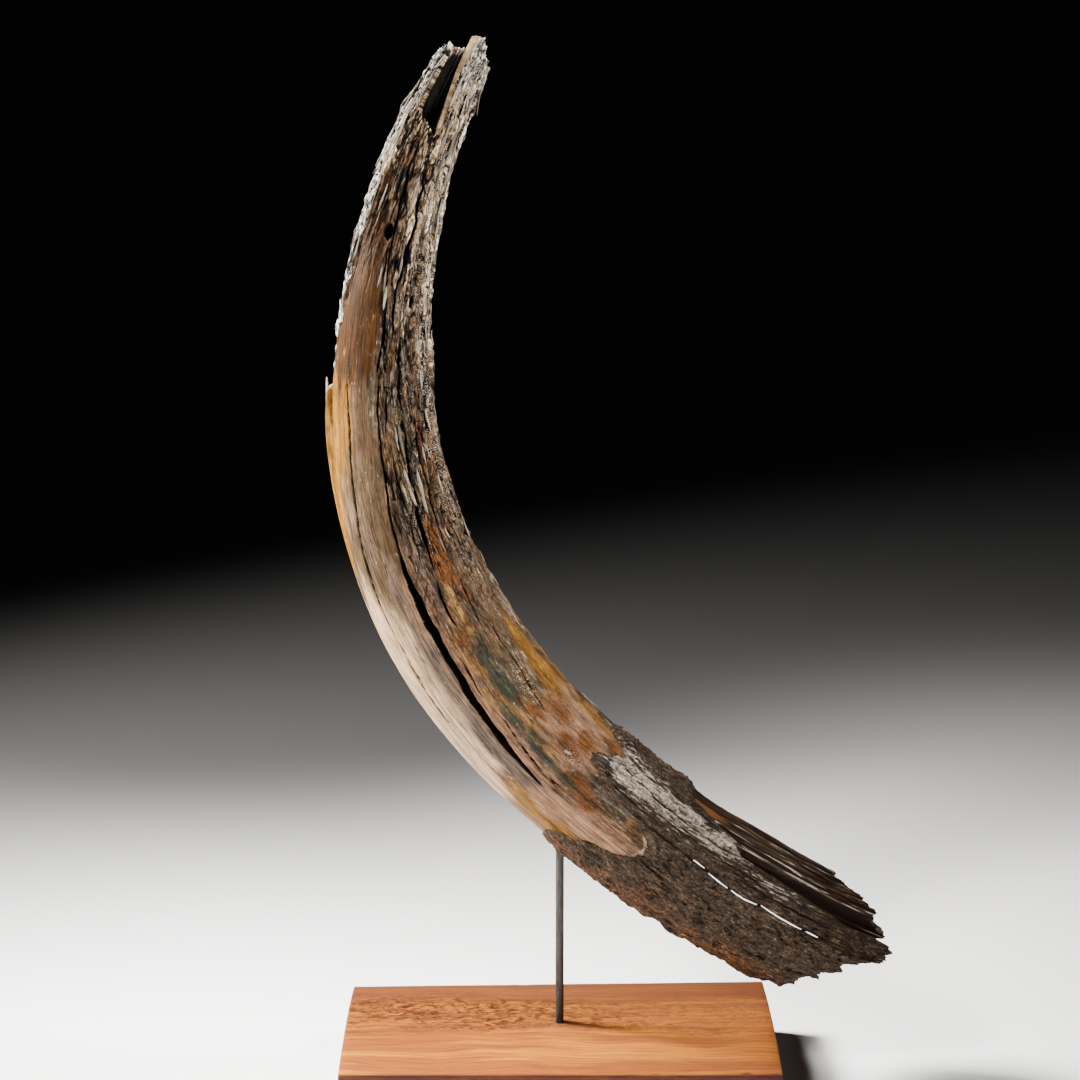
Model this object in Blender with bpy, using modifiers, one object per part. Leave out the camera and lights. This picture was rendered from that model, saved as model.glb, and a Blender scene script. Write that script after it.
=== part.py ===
"""A mammoth tusk on its stand: one tusk, a steel rod and a wooden block.

The tusk is described in its own two coordinates. "along" is the distance in metres
down its centreline from the thin end, and "angle" is the direction round it in
degrees: 0 faces the front (-Y), +90 the hollow side of the bend, -90 the outer side.
The origin is at the centre of the block's underside below the rod, with +Z up.
"""
import math

import bmesh
import bpy
import numpy as np
from mathutils import Vector, noise

# ---- Stand (metres) ----
BLOCK_LENGTH = 0.504
BLOCK_FRONT = -0.128            # y of the front face
BLOCK_BACK_LEFT = 0.127         # y of the back face at the two ends
BLOCK_BACK_RIGHT = 0.142
BLOCK_EDGE_HEIGHT = 0.065
BLOCK_CROWN = 0.009             # how far the middle of the top stands above its edges
BLOCK_ROUNDING = 0.002
ROD_DIAMETER = 0.010
ROD_DEPTH_IN_BLOCK = 0.040
ROD_TOP = 0.330                 # inside the tusk, whose underside is at about 0.28
SOCKET_GAP = 0.0003

# ---- Tusk: centreline and half widths (metres) ----
# x, y, z, half width towards the outer side, half width towards the hollow side
TUSK_STATIONS = [
    (-0.092, 0.050, 1.218, 0.028, 0.030),
    (-0.107, 0.044, 1.191, 0.029, 0.032),
    (-0.152, 0.029, 1.095, 0.039, 0.041),
    (-0.184, 0.014, 0.990, 0.045, 0.049),
    (-0.200, 0.002, 0.881, 0.050, 0.056),
    (-0.196, -0.009, 0.771, 0.058, 0.062),
    (-0.171, -0.016, 0.663, 0.069, 0.067),
    (-0.125, -0.019, 0.560, 0.074, 0.071),
    (-0.061, -0.018, 0.463, 0.073, 0.075),
    (0.020, -0.013, 0.376, 0.070, 0.077),
    (0.113, -0.004, 0.297, 0.071, 0.076),
    (0.216, 0.009, 0.230, 0.074, 0.073),
    (0.301, 0.020, 0.184, 0.074, 0.068),
    (0.395, 0.032, 0.141, 0.072, 0.064),
]
FLATNESS = 0.94                 # front-to-back depth of a section over its width

# Broken edges of the tusk: angle, along. They close on themselves at 360 degrees.
RIM_LINE = [
    (-90, 0.034), (-72, 0.032), (-50, 0.028), (-38, 0.030), (-35, 0.096), (-30, 0.106),
    (-21, 0.112), (-7, 0.116), (9, 0.122), (13, 0.006), (18, 0.002), (28, 0.006),
    (38, 0.018), (54, 0.022), (73, 0.032), (110, 0.028), (140, 0.022), (160, 0.016),
    (200, 0.021), (225, 0.030), (250, 0.040),
]
CRUST_LINE = [
    (-75, 0.944), (-58, 0.936), (-44, 0.934), (-38, 0.952), (-32, 0.962), (-25, 0.976),
    (-20, 0.994), (-14, 1.014), (-4, 1.022), (3, 1.024), (9, 1.018), (14, 1.008),
    (19, 0.990), (22, 0.942), (29, 0.922), (33, 0.906), (39, 0.904), (45, 0.912),
    (50, 0.930), (58, 0.938), (67, 0.932), (72, 0.914), (78, 0.910), (96, 0.916),
    (125, 0.950), (150, 0.905), (180, 0.925), (210, 0.975), (240, 0.965), (268, 0.952),
]
END_LINE = [
    (-72, 1.250), (-57, 1.262), (-32, 1.278), (-17, 1.292), (-9, 1.300), (-1, 1.312),
    (6, 1.330), (12, 1.342), (16, 1.346), (24, 1.348), (28, 1.340), (31, 1.320),
    (36, 1.336), (41, 1.334), (46, 1.326), (54, 1.318), (60, 1.312), (68, 1.300),
    (79, 1.284), (90, 1.264), (110, 1.240), (130, 1.248), (150, 1.268), (180, 1.254),
    (205, 1.274), (235, 1.248), (265, 1.246),
]
# Where the crust stops short of the wide end, on the hollow side of the bend.
CRUST_STOP_LINE = [
    (24, 1.400), (28, 1.330), (30, 1.290), (36, 1.248), (40, 1.200), (43, 1.124),
    (54, 1.120), (59, 1.096), (65, 1.074), (71, 1.046), (100, 1.050), (120, 1.075),
    (140, 1.140), (160, 1.260), (175, 1.400), (355, 1.400),
]

# ---- Tusk: relief (metres, degrees) ----
# The smooth band lies between two angles that change with "along"; the rest is furrowed.
SMOOTH_BAND_LOW = ([0.23, 0.33, 0.41, 0.60], [-45, -62, -85, -125])
SMOOTH_BAND_HIGH = ([0.23, 0.29, 0.36, 0.47, 0.90], [-12, -8, 3, -2, -8])
SMOOTH_DEPTH = 0.0005
ROUGH_DEPTH = 0.0036
ROUGH_ALL_ROUND = (0.19, 0.26)  # furrowed all round above the first, no longer below the second
CALM = (0.68, 0.84)             # furrows lose CALM_SHARE of their depth between these
CALM_SHARE = 0.65
# Noises: waves round the tusk, length along it, seed, share.
FURROWS = [(4.2, 0.070, 3.0, 1.0), (7.5, 0.035, 9.0, 0.6)]
LUMPS = [(3.5, 0.040, 20.0, 1.0), (6.0, 0.020, 31.0, 0.7)]
HOLLOW_WAVES = [(3.0, 0.030, 50.0, 1.0)]

LAYER_HEIGHT = 0.0075           # the outer layer that ends in a ledge on the outer side
LAYER_START = 0.408
LAYER_FADE = (0.438, 0.600)
LAYER_FRONT = (-62, -84)        # the layer rises from the first angle to the second
LAYER_REAR = (-150, -125)
LEDGE = 0.002                   # half the length of a ledge's slope
SLIVER_ANGLES = (-66.0, -104.0)
SLIVER_REACH = (-0.010, 0.055)  # from the ledge
SLIVER_LIFT = (0.0020, 0.0045)
SLIVER_GAP = (0.0022, 0.0004)

CRUST_HEIGHT = 0.0060
CRUST_LUMPS = 0.0022
CRUST_EDGE = 0.0015             # half the length of the crust's edge slope
BULGE_HEIGHT = 0.0045           # the crust's last lump on the outer side
BULGE_ALONG = 1.222
BULGE_REACH = 0.030
BULGE_ANGLES = (-40, -75)
GROOVE_DEPTH = 0.0085
GROOVE_START = (1.110, 1.150)
GROOVE_ANGLE = 45.0
GROOVE_REACH = 6.0

WALL = 0.0085                   # wall of the hollow thin end, at its rim
HOLLOW_DEPTH = 0.172            # along, at the bottom of the hollow
HOLLOW_NARROWING = 0.86         # inward, at the bottom of the hollow
HOLLOW_UNEVEN = 0.0012
HOLLOW_LIP = 0.002              # the hollow starts this far inside the rim
END_HOLLOW = 0.022              # how far the middle of the wide end is broken back
END_UNEVEN = 0.006

# Cracks: points (along, angle), greatest width and depth.
CRACKS = [
    ([(0.540, -4), (0.606, -6), (0.682, -6), (0.772, -7), (0.868, -11)], 0.0105, 0.034),
    ([(0.392, 3), (0.430, 0), (0.510, -2), (0.545, -4)], 0.0030, 0.012),
    ([(0.118, -3), (0.162, -4), (0.228, -2)], 0.0060, 0.010),
    ([(0.174, 19), (0.218, 26), (0.262, 20), (0.330, 17)], 0.0065, 0.010),
    ([(0.172, -66), (0.196, -50), (0.224, -43)], 0.0050, 0.008),
    ([(0.324, 7), (0.358, 5), (0.388, 1)], 0.0055, 0.010),
    ([(0.358, 28), (0.408, 26), (0.436, 29)], 0.0060, 0.010),
    ([(0.460, 29), (0.510, 25), (0.574, 23), (0.612, 20)], 0.0070, 0.012),
    ([(0.446, 42), (0.526, 43), (0.578, 40)], 0.0080, 0.011),
    ([(0.704, 45), (0.762, 44), (0.806, 39)], 0.0050, 0.010),
    ([(0.940, 50), (0.984, 45), (1.050, 43), (1.130, 41)], 0.0045, 0.009),
    ([(1.262, 9.5), (1.285, 9), (1.318, 11)], 0.0050, 0.012),
]
CRACK_STEP = 0.024
CRACK_OUTSIDE = 0.010           # how far a crack's cutter stands out of the surface
CRACK_TIP = 0.12                # width at a crack's ends, as a share of its greatest
CRACK_TIP_DEPTH = 0.35
CRACK_WANDER = 0.7              # degrees, for cracks wider than CRACK_STRAIGHT
CRACK_WAVES = 31.0
CRACK_STRAIGHT = 0.004

# The slit that passes right through the wide end, in slots with bridges between.
SLIT_SLOTS = [
    [(1.076, 19), (1.093, 18)],
    [(1.100, 16), (1.129, 13)],
    [(1.134, 13), (1.155, 11.5), (1.170, 12.5)],
    [(1.175, 13.5), (1.206, 11), (1.233, 10)],
    [(1.239, 10), (1.256, 9.5)],
]
SLIT_WIDTH = 0.0030
SLIT_APEX = (-0.023, -2.749, 1.285)   # the slit's walls fan out from this far point
SLIT_BEFORE = 0.050
SLIT_BEHIND = 0.230

PIT = (0.239, -10, 0.017, 0.010, 0.012)        # along, angle, length, width, depth
SMALL_PIT = (0.630, 64, 0.010, 0.007, 0.010)
PIT_OUTSIDE = 0.008
TUSK_SOCKET_LOW = 0.150         # the rod's socket is open below the tusk

COLUMNS = 48
# Plain rows, before they are pulled to the broken edges.
THIN_ROW, CRUST_ROW, WIDE_ROW = 0.030, 0.950, 1.260
THIN_PULL, CRUST_PULL, WIDE_PULL = 0.200, 0.200, 0.150     # how far each pull reaches
FINE_UNTIL = 0.250
ROW_STEP_AT_ENDS = 0.0165
ROWS_TO_LEDGE = 8
ROWS_TO_CRUST = 23
HOLLOW_ROWS = 6
# Rings of the wide end: share of the radius, share of the way to its deepest point.
END_ROWS = [(0.86, 0.03), (0.80, 0.42), (0.62, 0.62), (0.42, 0.80), (0.18, 1.00)]

TUSK_COLOUR = (0.20, 0.125, 0.070)
ROD_COLOUR = (0.10, 0.10, 0.105)
BASE_COLOUR = (0.48, 0.20, 0.075)


# ---- Small helpers ----
def smooth_step(low, high, value):
    t = np.clip((value - low) / (high - low), 0.0, 1.0)
    return t * t * (3.0 - 2.0 * t)


def curve_through(knots, values, where):
    """Cubic through the given values, with slopes taken from their neighbours."""
    knots = np.asarray(knots, float)
    values = np.asarray(values, float).reshape(len(knots), -1)
    where = np.atleast_1d(np.asarray(where, float))
    step = np.diff(knots)[:, None]
    slope = np.diff(values, axis=0) / step
    tangent = np.empty_like(values)
    tangent[1:-1] = (slope[:-1] * step[1:] + slope[1:] * step[:-1]) / (step[1:] + step[:-1])
    tangent[0] = 2.0 * slope[0] - tangent[1]
    tangent[-1] = 2.0 * slope[-1] - tangent[-2]
    i = np.clip(np.searchsorted(knots, where, side="right") - 1, 0, len(knots) - 2)
    h = step[i]
    t = ((where - knots[i]) / (knots[i + 1] - knots[i]))[:, None]
    return ((2 * t**3 - 3 * t**2 + 1) * values[i] + (t**3 - 2 * t**2 + t) * h * tangent[i]
            + (3 * t**2 - 2 * t**3) * values[i + 1] + (t**3 - t**2) * h * tangent[i + 1])


def line_at(line, angle):
    """A closed line's "along" at an angle in degrees, straight between its points."""
    angles = [point[0] for point in line]
    turned = (np.asarray(angle, float) - angles[0]) % 360.0 + angles[0]
    return np.interp(turned, angles + [angles[0] + 360.0], [p[1] for p in line] + [line[0][1]])


# ---- The tusk's form ----
stations = np.array(TUSK_STATIONS)
station_knots = np.r_[0.0, np.cumsum(np.linalg.norm(np.diff(stations[:, :3], axis=0), axis=1))]
fine_knots = np.linspace(0.0, station_knots[-1], 3000)
fine_points = curve_through(station_knots, stations[:, :3], fine_knots)
fine_along = np.r_[0.0, np.cumsum(np.linalg.norm(np.diff(fine_points, axis=0), axis=1))]


def section_frame(along):
    """Centre, direction of run, hollow-side direction and front direction at "along"."""
    knot = np.interp(along, fine_along, fine_knots)
    centre = curve_through(station_knots, stations[:, :3], knot)
    ahead = np.clip(knot + 0.001, 0.0, station_knots[-1])
    behind = np.clip(knot - 0.001, 0.0, station_knots[-1])
    run = (curve_through(station_knots, stations[:, :3], ahead)
           - curve_through(station_knots, stations[:, :3], behind))
    run /= np.linalg.norm(run, axis=1)[:, None]
    side = np.cross(np.array([0.0, -1.0, 0.0]), run)
    side /= np.linalg.norm(side, axis=1)[:, None]
    return centre, run, side, np.cross(run, side)


def half_widths(along):
    knot = np.interp(along, fine_along, fine_knots)
    return curve_through(station_knots, stations[:, 3:5], knot).T


def place(along, angle, height=0.0, inward=0.0):
    """Points of the surface. "height" lifts them, "inward" 1 brings them to the centre."""
    along, angle, height = np.broadcast_arrays(np.atleast_1d(along), angle, height)
    turn = np.radians(angle)
    centre, _, side, front = section_frame(along)
    outer, hollow = half_widths(along)
    across = np.where(np.sin(turn) > 0.0, hollow, outer) + height
    depth = FLATNESS * (outer + hollow) / 2.0 + height
    scale = 1.0 - np.asarray(inward)
    return (centre + side * (np.sin(turn) * across * scale)[:, None]
            + front * (np.cos(turn) * depth * scale)[:, None])


def waves(along, angle, parts):
    """Sum of smooth noises that close round the tusk and are drawn out along it."""
    turn = np.radians(angle)
    total = np.zeros(len(along))
    for around, length, seed, share in parts:
        points = zip(around * np.cos(turn), around * np.sin(turn), along / length)
        total += share * np.array([noise.noise(Vector((x + seed, y, z))) for x, y, z in points])
    return total


def roughness(along, angle):
    """0 on the smooth outer band, 1 on the split and furrowed parts."""
    low = np.interp(along, *SMOOTH_BAND_LOW)
    high = np.interp(along, *SMOOTH_BAND_HIGH)
    outside = np.maximum(smooth_step(-10, 4, low - angle), smooth_step(-6, 6, angle - high))
    near_thin_end = 1.0 - smooth_step(*ROUGH_ALL_ROUND, along)
    return np.maximum(outside * (1.0 - CALM_SHARE * smooth_step(*CALM, along)), near_thin_end)


def relief(along, angle):
    """Height of the real surface above the plain section, in metres."""
    angle = (angle + 180.0) % 360.0 - 180.0
    depth = SMOOTH_DEPTH + (ROUGH_DEPTH - SMOOTH_DEPTH) * roughness(along, angle)
    height = depth * waves(along, angle, FURROWS)

    layer = smooth_step(-LEDGE, LEDGE, along - LAYER_START)
    layer *= 1.0 - smooth_step(*LAYER_FADE, along)
    layer *= smooth_step(*LAYER_FRONT, angle) * smooth_step(*LAYER_REAR, angle)
    height += LAYER_HEIGHT * layer

    crust = smooth_step(-CRUST_EDGE, CRUST_EDGE, along - line_at(CRUST_LINE, angle))
    crust *= smooth_step(-2 * CRUST_EDGE, 2 * CRUST_EDGE, line_at(CRUST_STOP_LINE, angle) - along)
    height += crust * (CRUST_HEIGHT + CRUST_LUMPS * waves(along, angle, LUMPS))
    bulge = np.exp(-((along - BULGE_ALONG) / BULGE_REACH) ** 2)
    height += BULGE_HEIGHT * crust * bulge * smooth_step(*BULGE_ANGLES, angle)

    groove = smooth_step(*GROOVE_START, along)
    groove *= np.exp(-((angle - GROOVE_ANGLE) / GROOVE_REACH) ** 2)
    return height - GROOVE_DEPTH * groove * (1.0 - crust)


def row_positions():
    """Plain rows from end to end, with two close pairs that make ledges."""
    rows = list(np.arange(THIN_ROW, FINE_UNTIL, ROW_STEP_AT_ENDS))
    rows += list(np.linspace(rows[-1], LAYER_START - 1.5 * LEDGE, ROWS_TO_LEDGE)[1:])
    rows += list(np.linspace(LAYER_START + 1.5 * LEDGE, CRUST_ROW - LEDGE, ROWS_TO_CRUST))
    rows_in_crust = round((WIDE_ROW - CRUST_ROW) / ROW_STEP_AT_ENDS)
    return np.array(rows + list(np.linspace(CRUST_ROW + LEDGE, WIDE_ROW, rows_in_crust)))


def pull_rows(row, angle):
    """Move plain rows so that they follow the rim, the crust's edge and the wide end."""
    from_rim = 1.0 - np.clip((row - THIN_ROW) / THIN_PULL, 0, 1)
    from_crust = np.clip(1.0 - np.abs(row - CRUST_ROW) / CRUST_PULL, 0, 1)
    from_wide = np.clip((row - WIDE_ROW + WIDE_PULL) / WIDE_PULL, 0, 1)
    return (row + (line_at(RIM_LINE, angle) - THIN_ROW) * from_rim
            + (line_at(CRUST_LINE, angle) - CRUST_ROW) * from_crust
            + (line_at(END_LINE, angle) - WIDE_ROW) * from_wide)


def skin(name, rings, close_ends):
    """A mesh through rings of equal counts, with a fan at each closed end."""
    shape = bmesh.new()
    rows = [[shape.verts.new(point) for point in ring] for ring in rings]
    count = len(rows[0])
    for upper, lower in zip(rows[:-1], rows[1:]):
        for j in range(count):
            k = (j + 1) % count
            shape.faces.new((upper[j], upper[k], lower[k], lower[j]))
    if close_ends:
        for ring in (rows[0], rows[-1]):
            middle = shape.verts.new(sum((v.co for v in ring), Vector()) / count)
            for j in range(count):
                shape.faces.new((ring[j], ring[(j + 1) % count], middle))
    bmesh.ops.recalc_face_normals(shape, faces=shape.faces)
    bmesh.ops.triangulate(shape, faces=[f for f in shape.faces if len(f.verts) > 3])
    mesh = bpy.data.meshes.new(name)
    shape.to_mesh(mesh)
    shape.free()
    return mesh


# ---- Scene helpers ----
def clear_scene():
    for item in list(bpy.data.objects):
        bpy.data.objects.remove(item, do_unlink=True)


def new_collection(name):
    collection = bpy.data.collections.new(name)
    bpy.context.scene.collection.children.link(collection)
    return collection


def new_material(name, colour, roughness_value, metallic=0.0):
    material = bpy.data.materials.new(name)
    material.use_nodes = True
    shader = material.node_tree.nodes["Principled BSDF"]
    shader.inputs["Base Color"].default_value = (*colour, 1.0)
    shader.inputs["Roughness"].default_value = roughness_value
    shader.inputs["Metallic"].default_value = metallic
    return material


def add_object(name, mesh, collection, material=None):
    item = bpy.data.objects.new(name, mesh)
    collection.objects.link(item)
    if material:
        mesh.materials.append(material)
    return item


def cylinder_mesh(name, radius, low, high, sides=24):
    shape = bmesh.new()
    bmesh.ops.create_cone(shape, cap_ends=True, segments=sides, radius1=radius,
                          radius2=radius, depth=high - low)
    bmesh.ops.translate(shape, verts=shape.verts, vec=(0, 0, (low + high) / 2.0))
    mesh = bpy.data.meshes.new(name)
    shape.to_mesh(mesh)
    shape.free()
    return mesh


def add_cutter(name, mesh, cutters):
    cutter = add_object(name, mesh, cutters)
    cutter.hide_render = True
    cutter.display_type = "WIRE"
    return cutter


def cut(item, cutter):
    modifier = item.modifiers.new(cutter.name, "BOOLEAN")
    modifier.operation = "DIFFERENCE"
    modifier.solver = "EXACT"
    modifier.object = cutter


# ---- Cutters for the tusk ----
def tangent_frame(along, angle):
    """A surface point with its outward and round-the-tusk directions."""
    point = place(along, angle, relief(along, angle))
    centre, run, _, _ = section_frame(along)
    outward = point - centre
    outward -= run * np.sum(outward * run, axis=1)[:, None]
    outward /= np.linalg.norm(outward, axis=1)[:, None]
    return point, outward, np.cross(run, outward)


def path_points(points, step):
    points = np.array(points, float)
    knots = points[:, 0]
    along = np.linspace(knots[0], knots[-1], max(3, round((knots[-1] - knots[0]) / step) + 1))
    if len(points) == 2:
        return along, np.interp(along, knots, points[:, 1])
    return along, curve_through(knots, points[:, 1], along)[:, 0]


def crack_mesh(name, points, width, depth):
    """A wedge that follows the surface, widest in its middle, thin at both ends."""
    along, angle = path_points(points, CRACK_STEP)
    t = np.linspace(0.0, 1.0, len(along))
    if width > CRACK_STRAIGHT:
        angle = angle + CRACK_WANDER * np.sin(CRACK_WAVES * t)
    middle = np.sin(np.pi * t)
    point, outward, around = tangent_frame(along, angle)
    half = (width / 2.0 * (CRACK_TIP + (1.0 - CRACK_TIP) * middle ** 0.8))[:, None]
    deep = (depth * (CRACK_TIP_DEPTH + (1.0 - CRACK_TIP_DEPTH) * middle))[:, None]
    flare = (deep + CRACK_OUTSIDE) / deep
    left = point + outward * CRACK_OUTSIDE - around * half * flare
    right = point + outward * CRACK_OUTSIDE + around * half * flare
    bottom = point - outward * deep
    return skin(name, list(np.stack([left, right, bottom], axis=1)), True)


def slot_mesh(name, points):
    """A thin blade that runs right through the tusk, away from SLIT_APEX."""
    along, angle = path_points(points, CRACK_STEP)
    point = place(along, angle)
    _, run, _, _ = section_frame(along)
    through = point - np.array(SLIT_APEX)
    through /= np.linalg.norm(through, axis=1)[:, None]
    thick = np.cross(run, through)
    thick /= np.linalg.norm(thick, axis=1)[:, None]
    half = thick * SLIT_WIDTH / 2.0
    near = point - through * SLIT_BEFORE
    far = point + through * SLIT_BEHIND
    return skin(name, list(np.stack([near - half, near + half, far + half, far - half], axis=1)),
                True)


def pit_mesh(name, along, angle, length, width, depth):
    """A box sunk into the surface, its long side along the tusk."""
    ends = np.array([along - length / 2.0, along + length / 2.0])
    point, outward, around = tangent_frame(ends, np.array([angle, angle], float))
    side = around * width / 2.0
    top, bottom = point + outward * PIT_OUTSIDE, point - outward * depth
    return skin(name, list(np.stack([top - side, top + side, bottom + side, bottom - side],
                                    axis=1)), True)


def sliver_gap_mesh(name):
    """The thin gap behind the free end of the sliver at the outer layer's ledge."""
    along = LAYER_START + np.linspace(*SLIVER_REACH, 6)
    lift = np.linspace(*SLIVER_LIFT, 6)
    half = np.linspace(*SLIVER_GAP, 6) / 2.0
    edge = np.array(SLIVER_ANGLES)
    rings = []
    for a, low, h in zip(along, lift, half):
        near, far = place(np.array([a, a]), edge, np.array([low - h] * 2))
        near_out, far_out = place(np.array([a, a]), edge, np.array([low + h] * 2))
        rings.append([near, far, far_out, near_out])
    return skin(name, rings, True)


# ---- The three pieces ----
def build_tusk(collection, cutters):
    angle = np.arange(COLUMNS) * 360.0 / COLUMNS
    rings = []
    for row in row_positions():
        along = pull_rows(row, angle)
        rings.append(place(along, angle, relief(along, angle)))

    rim = line_at(RIM_LINE, angle)
    outer, hollow = half_widths(rim)
    wall = WALL / ((outer + hollow) / 2.0)
    hollow_rings = []
    for t in np.linspace(0.0, 1.0, HOLLOW_ROWS):
        along = rim + (HOLLOW_DEPTH - rim) * t + HOLLOW_LIP * (1.0 - t)
        narrowing = wall + (HOLLOW_NARROWING - wall) * t ** 1.6
        uneven = HOLLOW_UNEVEN * waves(along, angle, HOLLOW_WAVES) * (1.0 - t)
        hollow_rings.append(place(along, angle, uneven, narrowing))
    rings = hollow_rings[::-1] + rings

    end = line_at(END_LINE, angle)
    for share, fall in END_ROWS:
        along = end - fall * (END_HOLLOW + end - end.min())
        along = along + END_UNEVEN * waves(along, angle, [(2.5, 0.02, 70.0 + 9.0 * share, share)])
        rings.append(place(along, angle, 0.0, 1.0 - share))

    material = new_material("tusk", TUSK_COLOUR, 0.62)
    tusk = add_object("tusk", skin("tusk", rings, True), collection, material)
    for number, (points, width, depth) in enumerate(CRACKS):
        name = f"crack_cutter_{number}"
        cut(tusk, add_cutter(name, crack_mesh(name, points, width, depth), cutters))
    for number, points in enumerate(SLIT_SLOTS):
        name = f"slit_cutter_{number}"
        cut(tusk, add_cutter(name, slot_mesh(name, points), cutters))
    cut(tusk, add_cutter("pit_cutter", pit_mesh("pit_cutter", *PIT), cutters))
    cut(tusk, add_cutter("small_pit_cutter", pit_mesh("small_pit_cutter", *SMALL_PIT), cutters))
    cut(tusk, add_cutter("sliver_cutter", sliver_gap_mesh("sliver_cutter"), cutters))
    socket = cylinder_mesh("tusk_socket_cutter", ROD_DIAMETER / 2.0 + SOCKET_GAP, TUSK_SOCKET_LOW,
                           ROD_TOP + SOCKET_GAP)
    cut(tusk, add_cutter("tusk_socket_cutter", socket, cutters))
    return tusk


def build_rod(collection):
    low = BLOCK_EDGE_HEIGHT - ROD_DEPTH_IN_BLOCK
    mesh = cylinder_mesh("rod", ROD_DIAMETER / 2.0, low, ROD_TOP)
    mesh.shade_smooth()
    mesh.set_sharp_from_angle(angle=math.radians(40))
    return add_object("rod", mesh, collection, new_material("rod", ROD_COLOUR, 0.38, 1.0))


def build_base(collection, cutters):
    shape = bmesh.new()
    bmesh.ops.create_cube(shape, size=1.0)
    across = [e for e in shape.edges if abs(e.verts[0].co.y - e.verts[1].co.y) > 0.5]
    bmesh.ops.subdivide_edges(shape, edges=across, cuts=9, use_grid_fill=True)
    for vert in shape.verts:
        share_x, share_y, top = vert.co.x + 0.5, vert.co.y + 0.5, vert.co.z > 0.0
        back = BLOCK_BACK_LEFT + (BLOCK_BACK_RIGHT - BLOCK_BACK_LEFT) * share_x
        crown = BLOCK_CROWN * (1.0 - (2.0 * share_y - 1.0) ** 2)
        vert.co.x = vert.co.x * BLOCK_LENGTH
        vert.co.y = BLOCK_FRONT + (back - BLOCK_FRONT) * share_y
        vert.co.z = (BLOCK_EDGE_HEIGHT + crown) if top else 0.0
    mesh = bpy.data.meshes.new("base")
    shape.to_mesh(mesh)
    shape.free()
    base = add_object("base", mesh, collection, new_material("base", BASE_COLOUR, 0.5))
    rounding = base.modifiers.new("rounding", "BEVEL")
    rounding.width = BLOCK_ROUNDING
    rounding.segments = 2
    rounding.limit_method = "ANGLE"
    rounding.angle_limit = math.radians(40)
    socket = cylinder_mesh("base_socket_cutter", ROD_DIAMETER / 2.0 + SOCKET_GAP,
                           BLOCK_EDGE_HEIGHT - ROD_DEPTH_IN_BLOCK - SOCKET_GAP, 0.12)
    cut(base, add_cutter("base_socket_cutter", socket, cutters))
    return base


def main():
    clear_scene()
    collection = new_collection("mammoth_tusk")
    cutters = new_collection("cutters")
    build_tusk(collection, cutters)
    build_rod(collection)
    build_base(collection, cutters)


main()
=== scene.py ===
import math
import random

import bpy
import numpy as np
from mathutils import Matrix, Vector, noise


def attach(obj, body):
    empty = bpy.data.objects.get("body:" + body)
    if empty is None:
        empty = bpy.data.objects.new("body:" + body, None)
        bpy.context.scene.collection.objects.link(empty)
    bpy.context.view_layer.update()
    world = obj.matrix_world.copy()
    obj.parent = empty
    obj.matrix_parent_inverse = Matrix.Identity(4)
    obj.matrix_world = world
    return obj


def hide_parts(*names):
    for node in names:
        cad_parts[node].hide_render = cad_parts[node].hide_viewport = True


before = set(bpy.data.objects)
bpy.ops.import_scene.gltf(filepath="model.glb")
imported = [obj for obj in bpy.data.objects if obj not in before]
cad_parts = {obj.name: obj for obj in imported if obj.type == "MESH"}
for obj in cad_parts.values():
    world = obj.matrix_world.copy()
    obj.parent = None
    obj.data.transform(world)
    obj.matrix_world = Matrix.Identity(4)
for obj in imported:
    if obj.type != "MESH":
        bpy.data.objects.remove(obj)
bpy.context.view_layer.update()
print("frame loaded")

# the camera
cameraSettings = {
    "place": (-0.023, -2.749, 1.285),
    "pitch": 12.87,          # degrees below level
    "lens": 83.33,
    "sensor": 36.0,
    "farthest": 60.0,
}


def addCamera():
    data = bpy.data.cameras.new("camera")
    data.lens = cameraSettings["lens"]
    data.sensor_width = cameraSettings["sensor"]
    data.clip_end = cameraSettings["farthest"]
    camera = bpy.data.objects.new("camera", data)
    camera.location = cameraSettings["place"]
    camera.rotation_euler = (math.radians(90.0 - cameraSettings["pitch"]), 0.0, 0.0)
    bpy.context.scene.collection.objects.link(camera)
    bpy.context.scene.camera = camera


addCamera()
print("camera placed")


# modelling helpers
def deselectAll():
    bpy.ops.object.select_all(action="DESELECT")


def selectOnly(piece):
    deselectAll()
    piece.select_set(True)
    bpy.context.view_layer.objects.active = piece


def addPrimitive(operator, name, **settings):
    deselectAll()
    operator(**settings)
    piece = bpy.context.object
    piece.name = name
    return piece


def addModifier(piece, name, kind, **settings):
    modifier = piece.modifiers.new(name, kind)
    for key, value in settings.items():
        setattr(modifier, key, value)


def applyAll(piece):
    selectOnly(piece)
    for modifier in list(piece.modifiers):
        bpy.ops.object.modifier_apply(modifier=modifier.name)


def bakePlace(piece):
    # the piece's place goes into its mesh, and its object to the origin
    selectOnly(piece)
    bpy.ops.object.transform_apply(location=True, rotation=True, scale=True)


def editAll(piece):
    selectOnly(piece)
    bpy.ops.object.mode_set(mode="EDIT")
    bpy.ops.mesh.select_all(action="SELECT")


def leaveEdit():
    bpy.ops.object.mode_set(mode="OBJECT")


def faceOutwards(piece):
    editAll(piece)
    bpy.ops.mesh.normals_make_consistent(inside=False)
    leaveEdit()


def subdivideEdges(piece, cuts, isLong):
    editAll(piece)
    bpy.ops.mesh.select_mode(type="EDGE")
    bpy.ops.mesh.select_all(action="DESELECT")
    leaveEdit()
    for edge in piece.data.edges:
        edge.select = isLong(*(piece.data.vertices[i].co for i in edge.vertices))
    bpy.ops.object.mode_set(mode="EDIT")
    bpy.ops.mesh.subdivide(number_cuts=cuts)
    bpy.ops.mesh.select_mode(type="VERT")
    leaveEdit()


def readSpots(mesh):
    flat = np.empty(len(mesh.vertices) * 3)
    mesh.vertices.foreach_get("co", flat)
    return flat.reshape(-1, 3)


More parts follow.
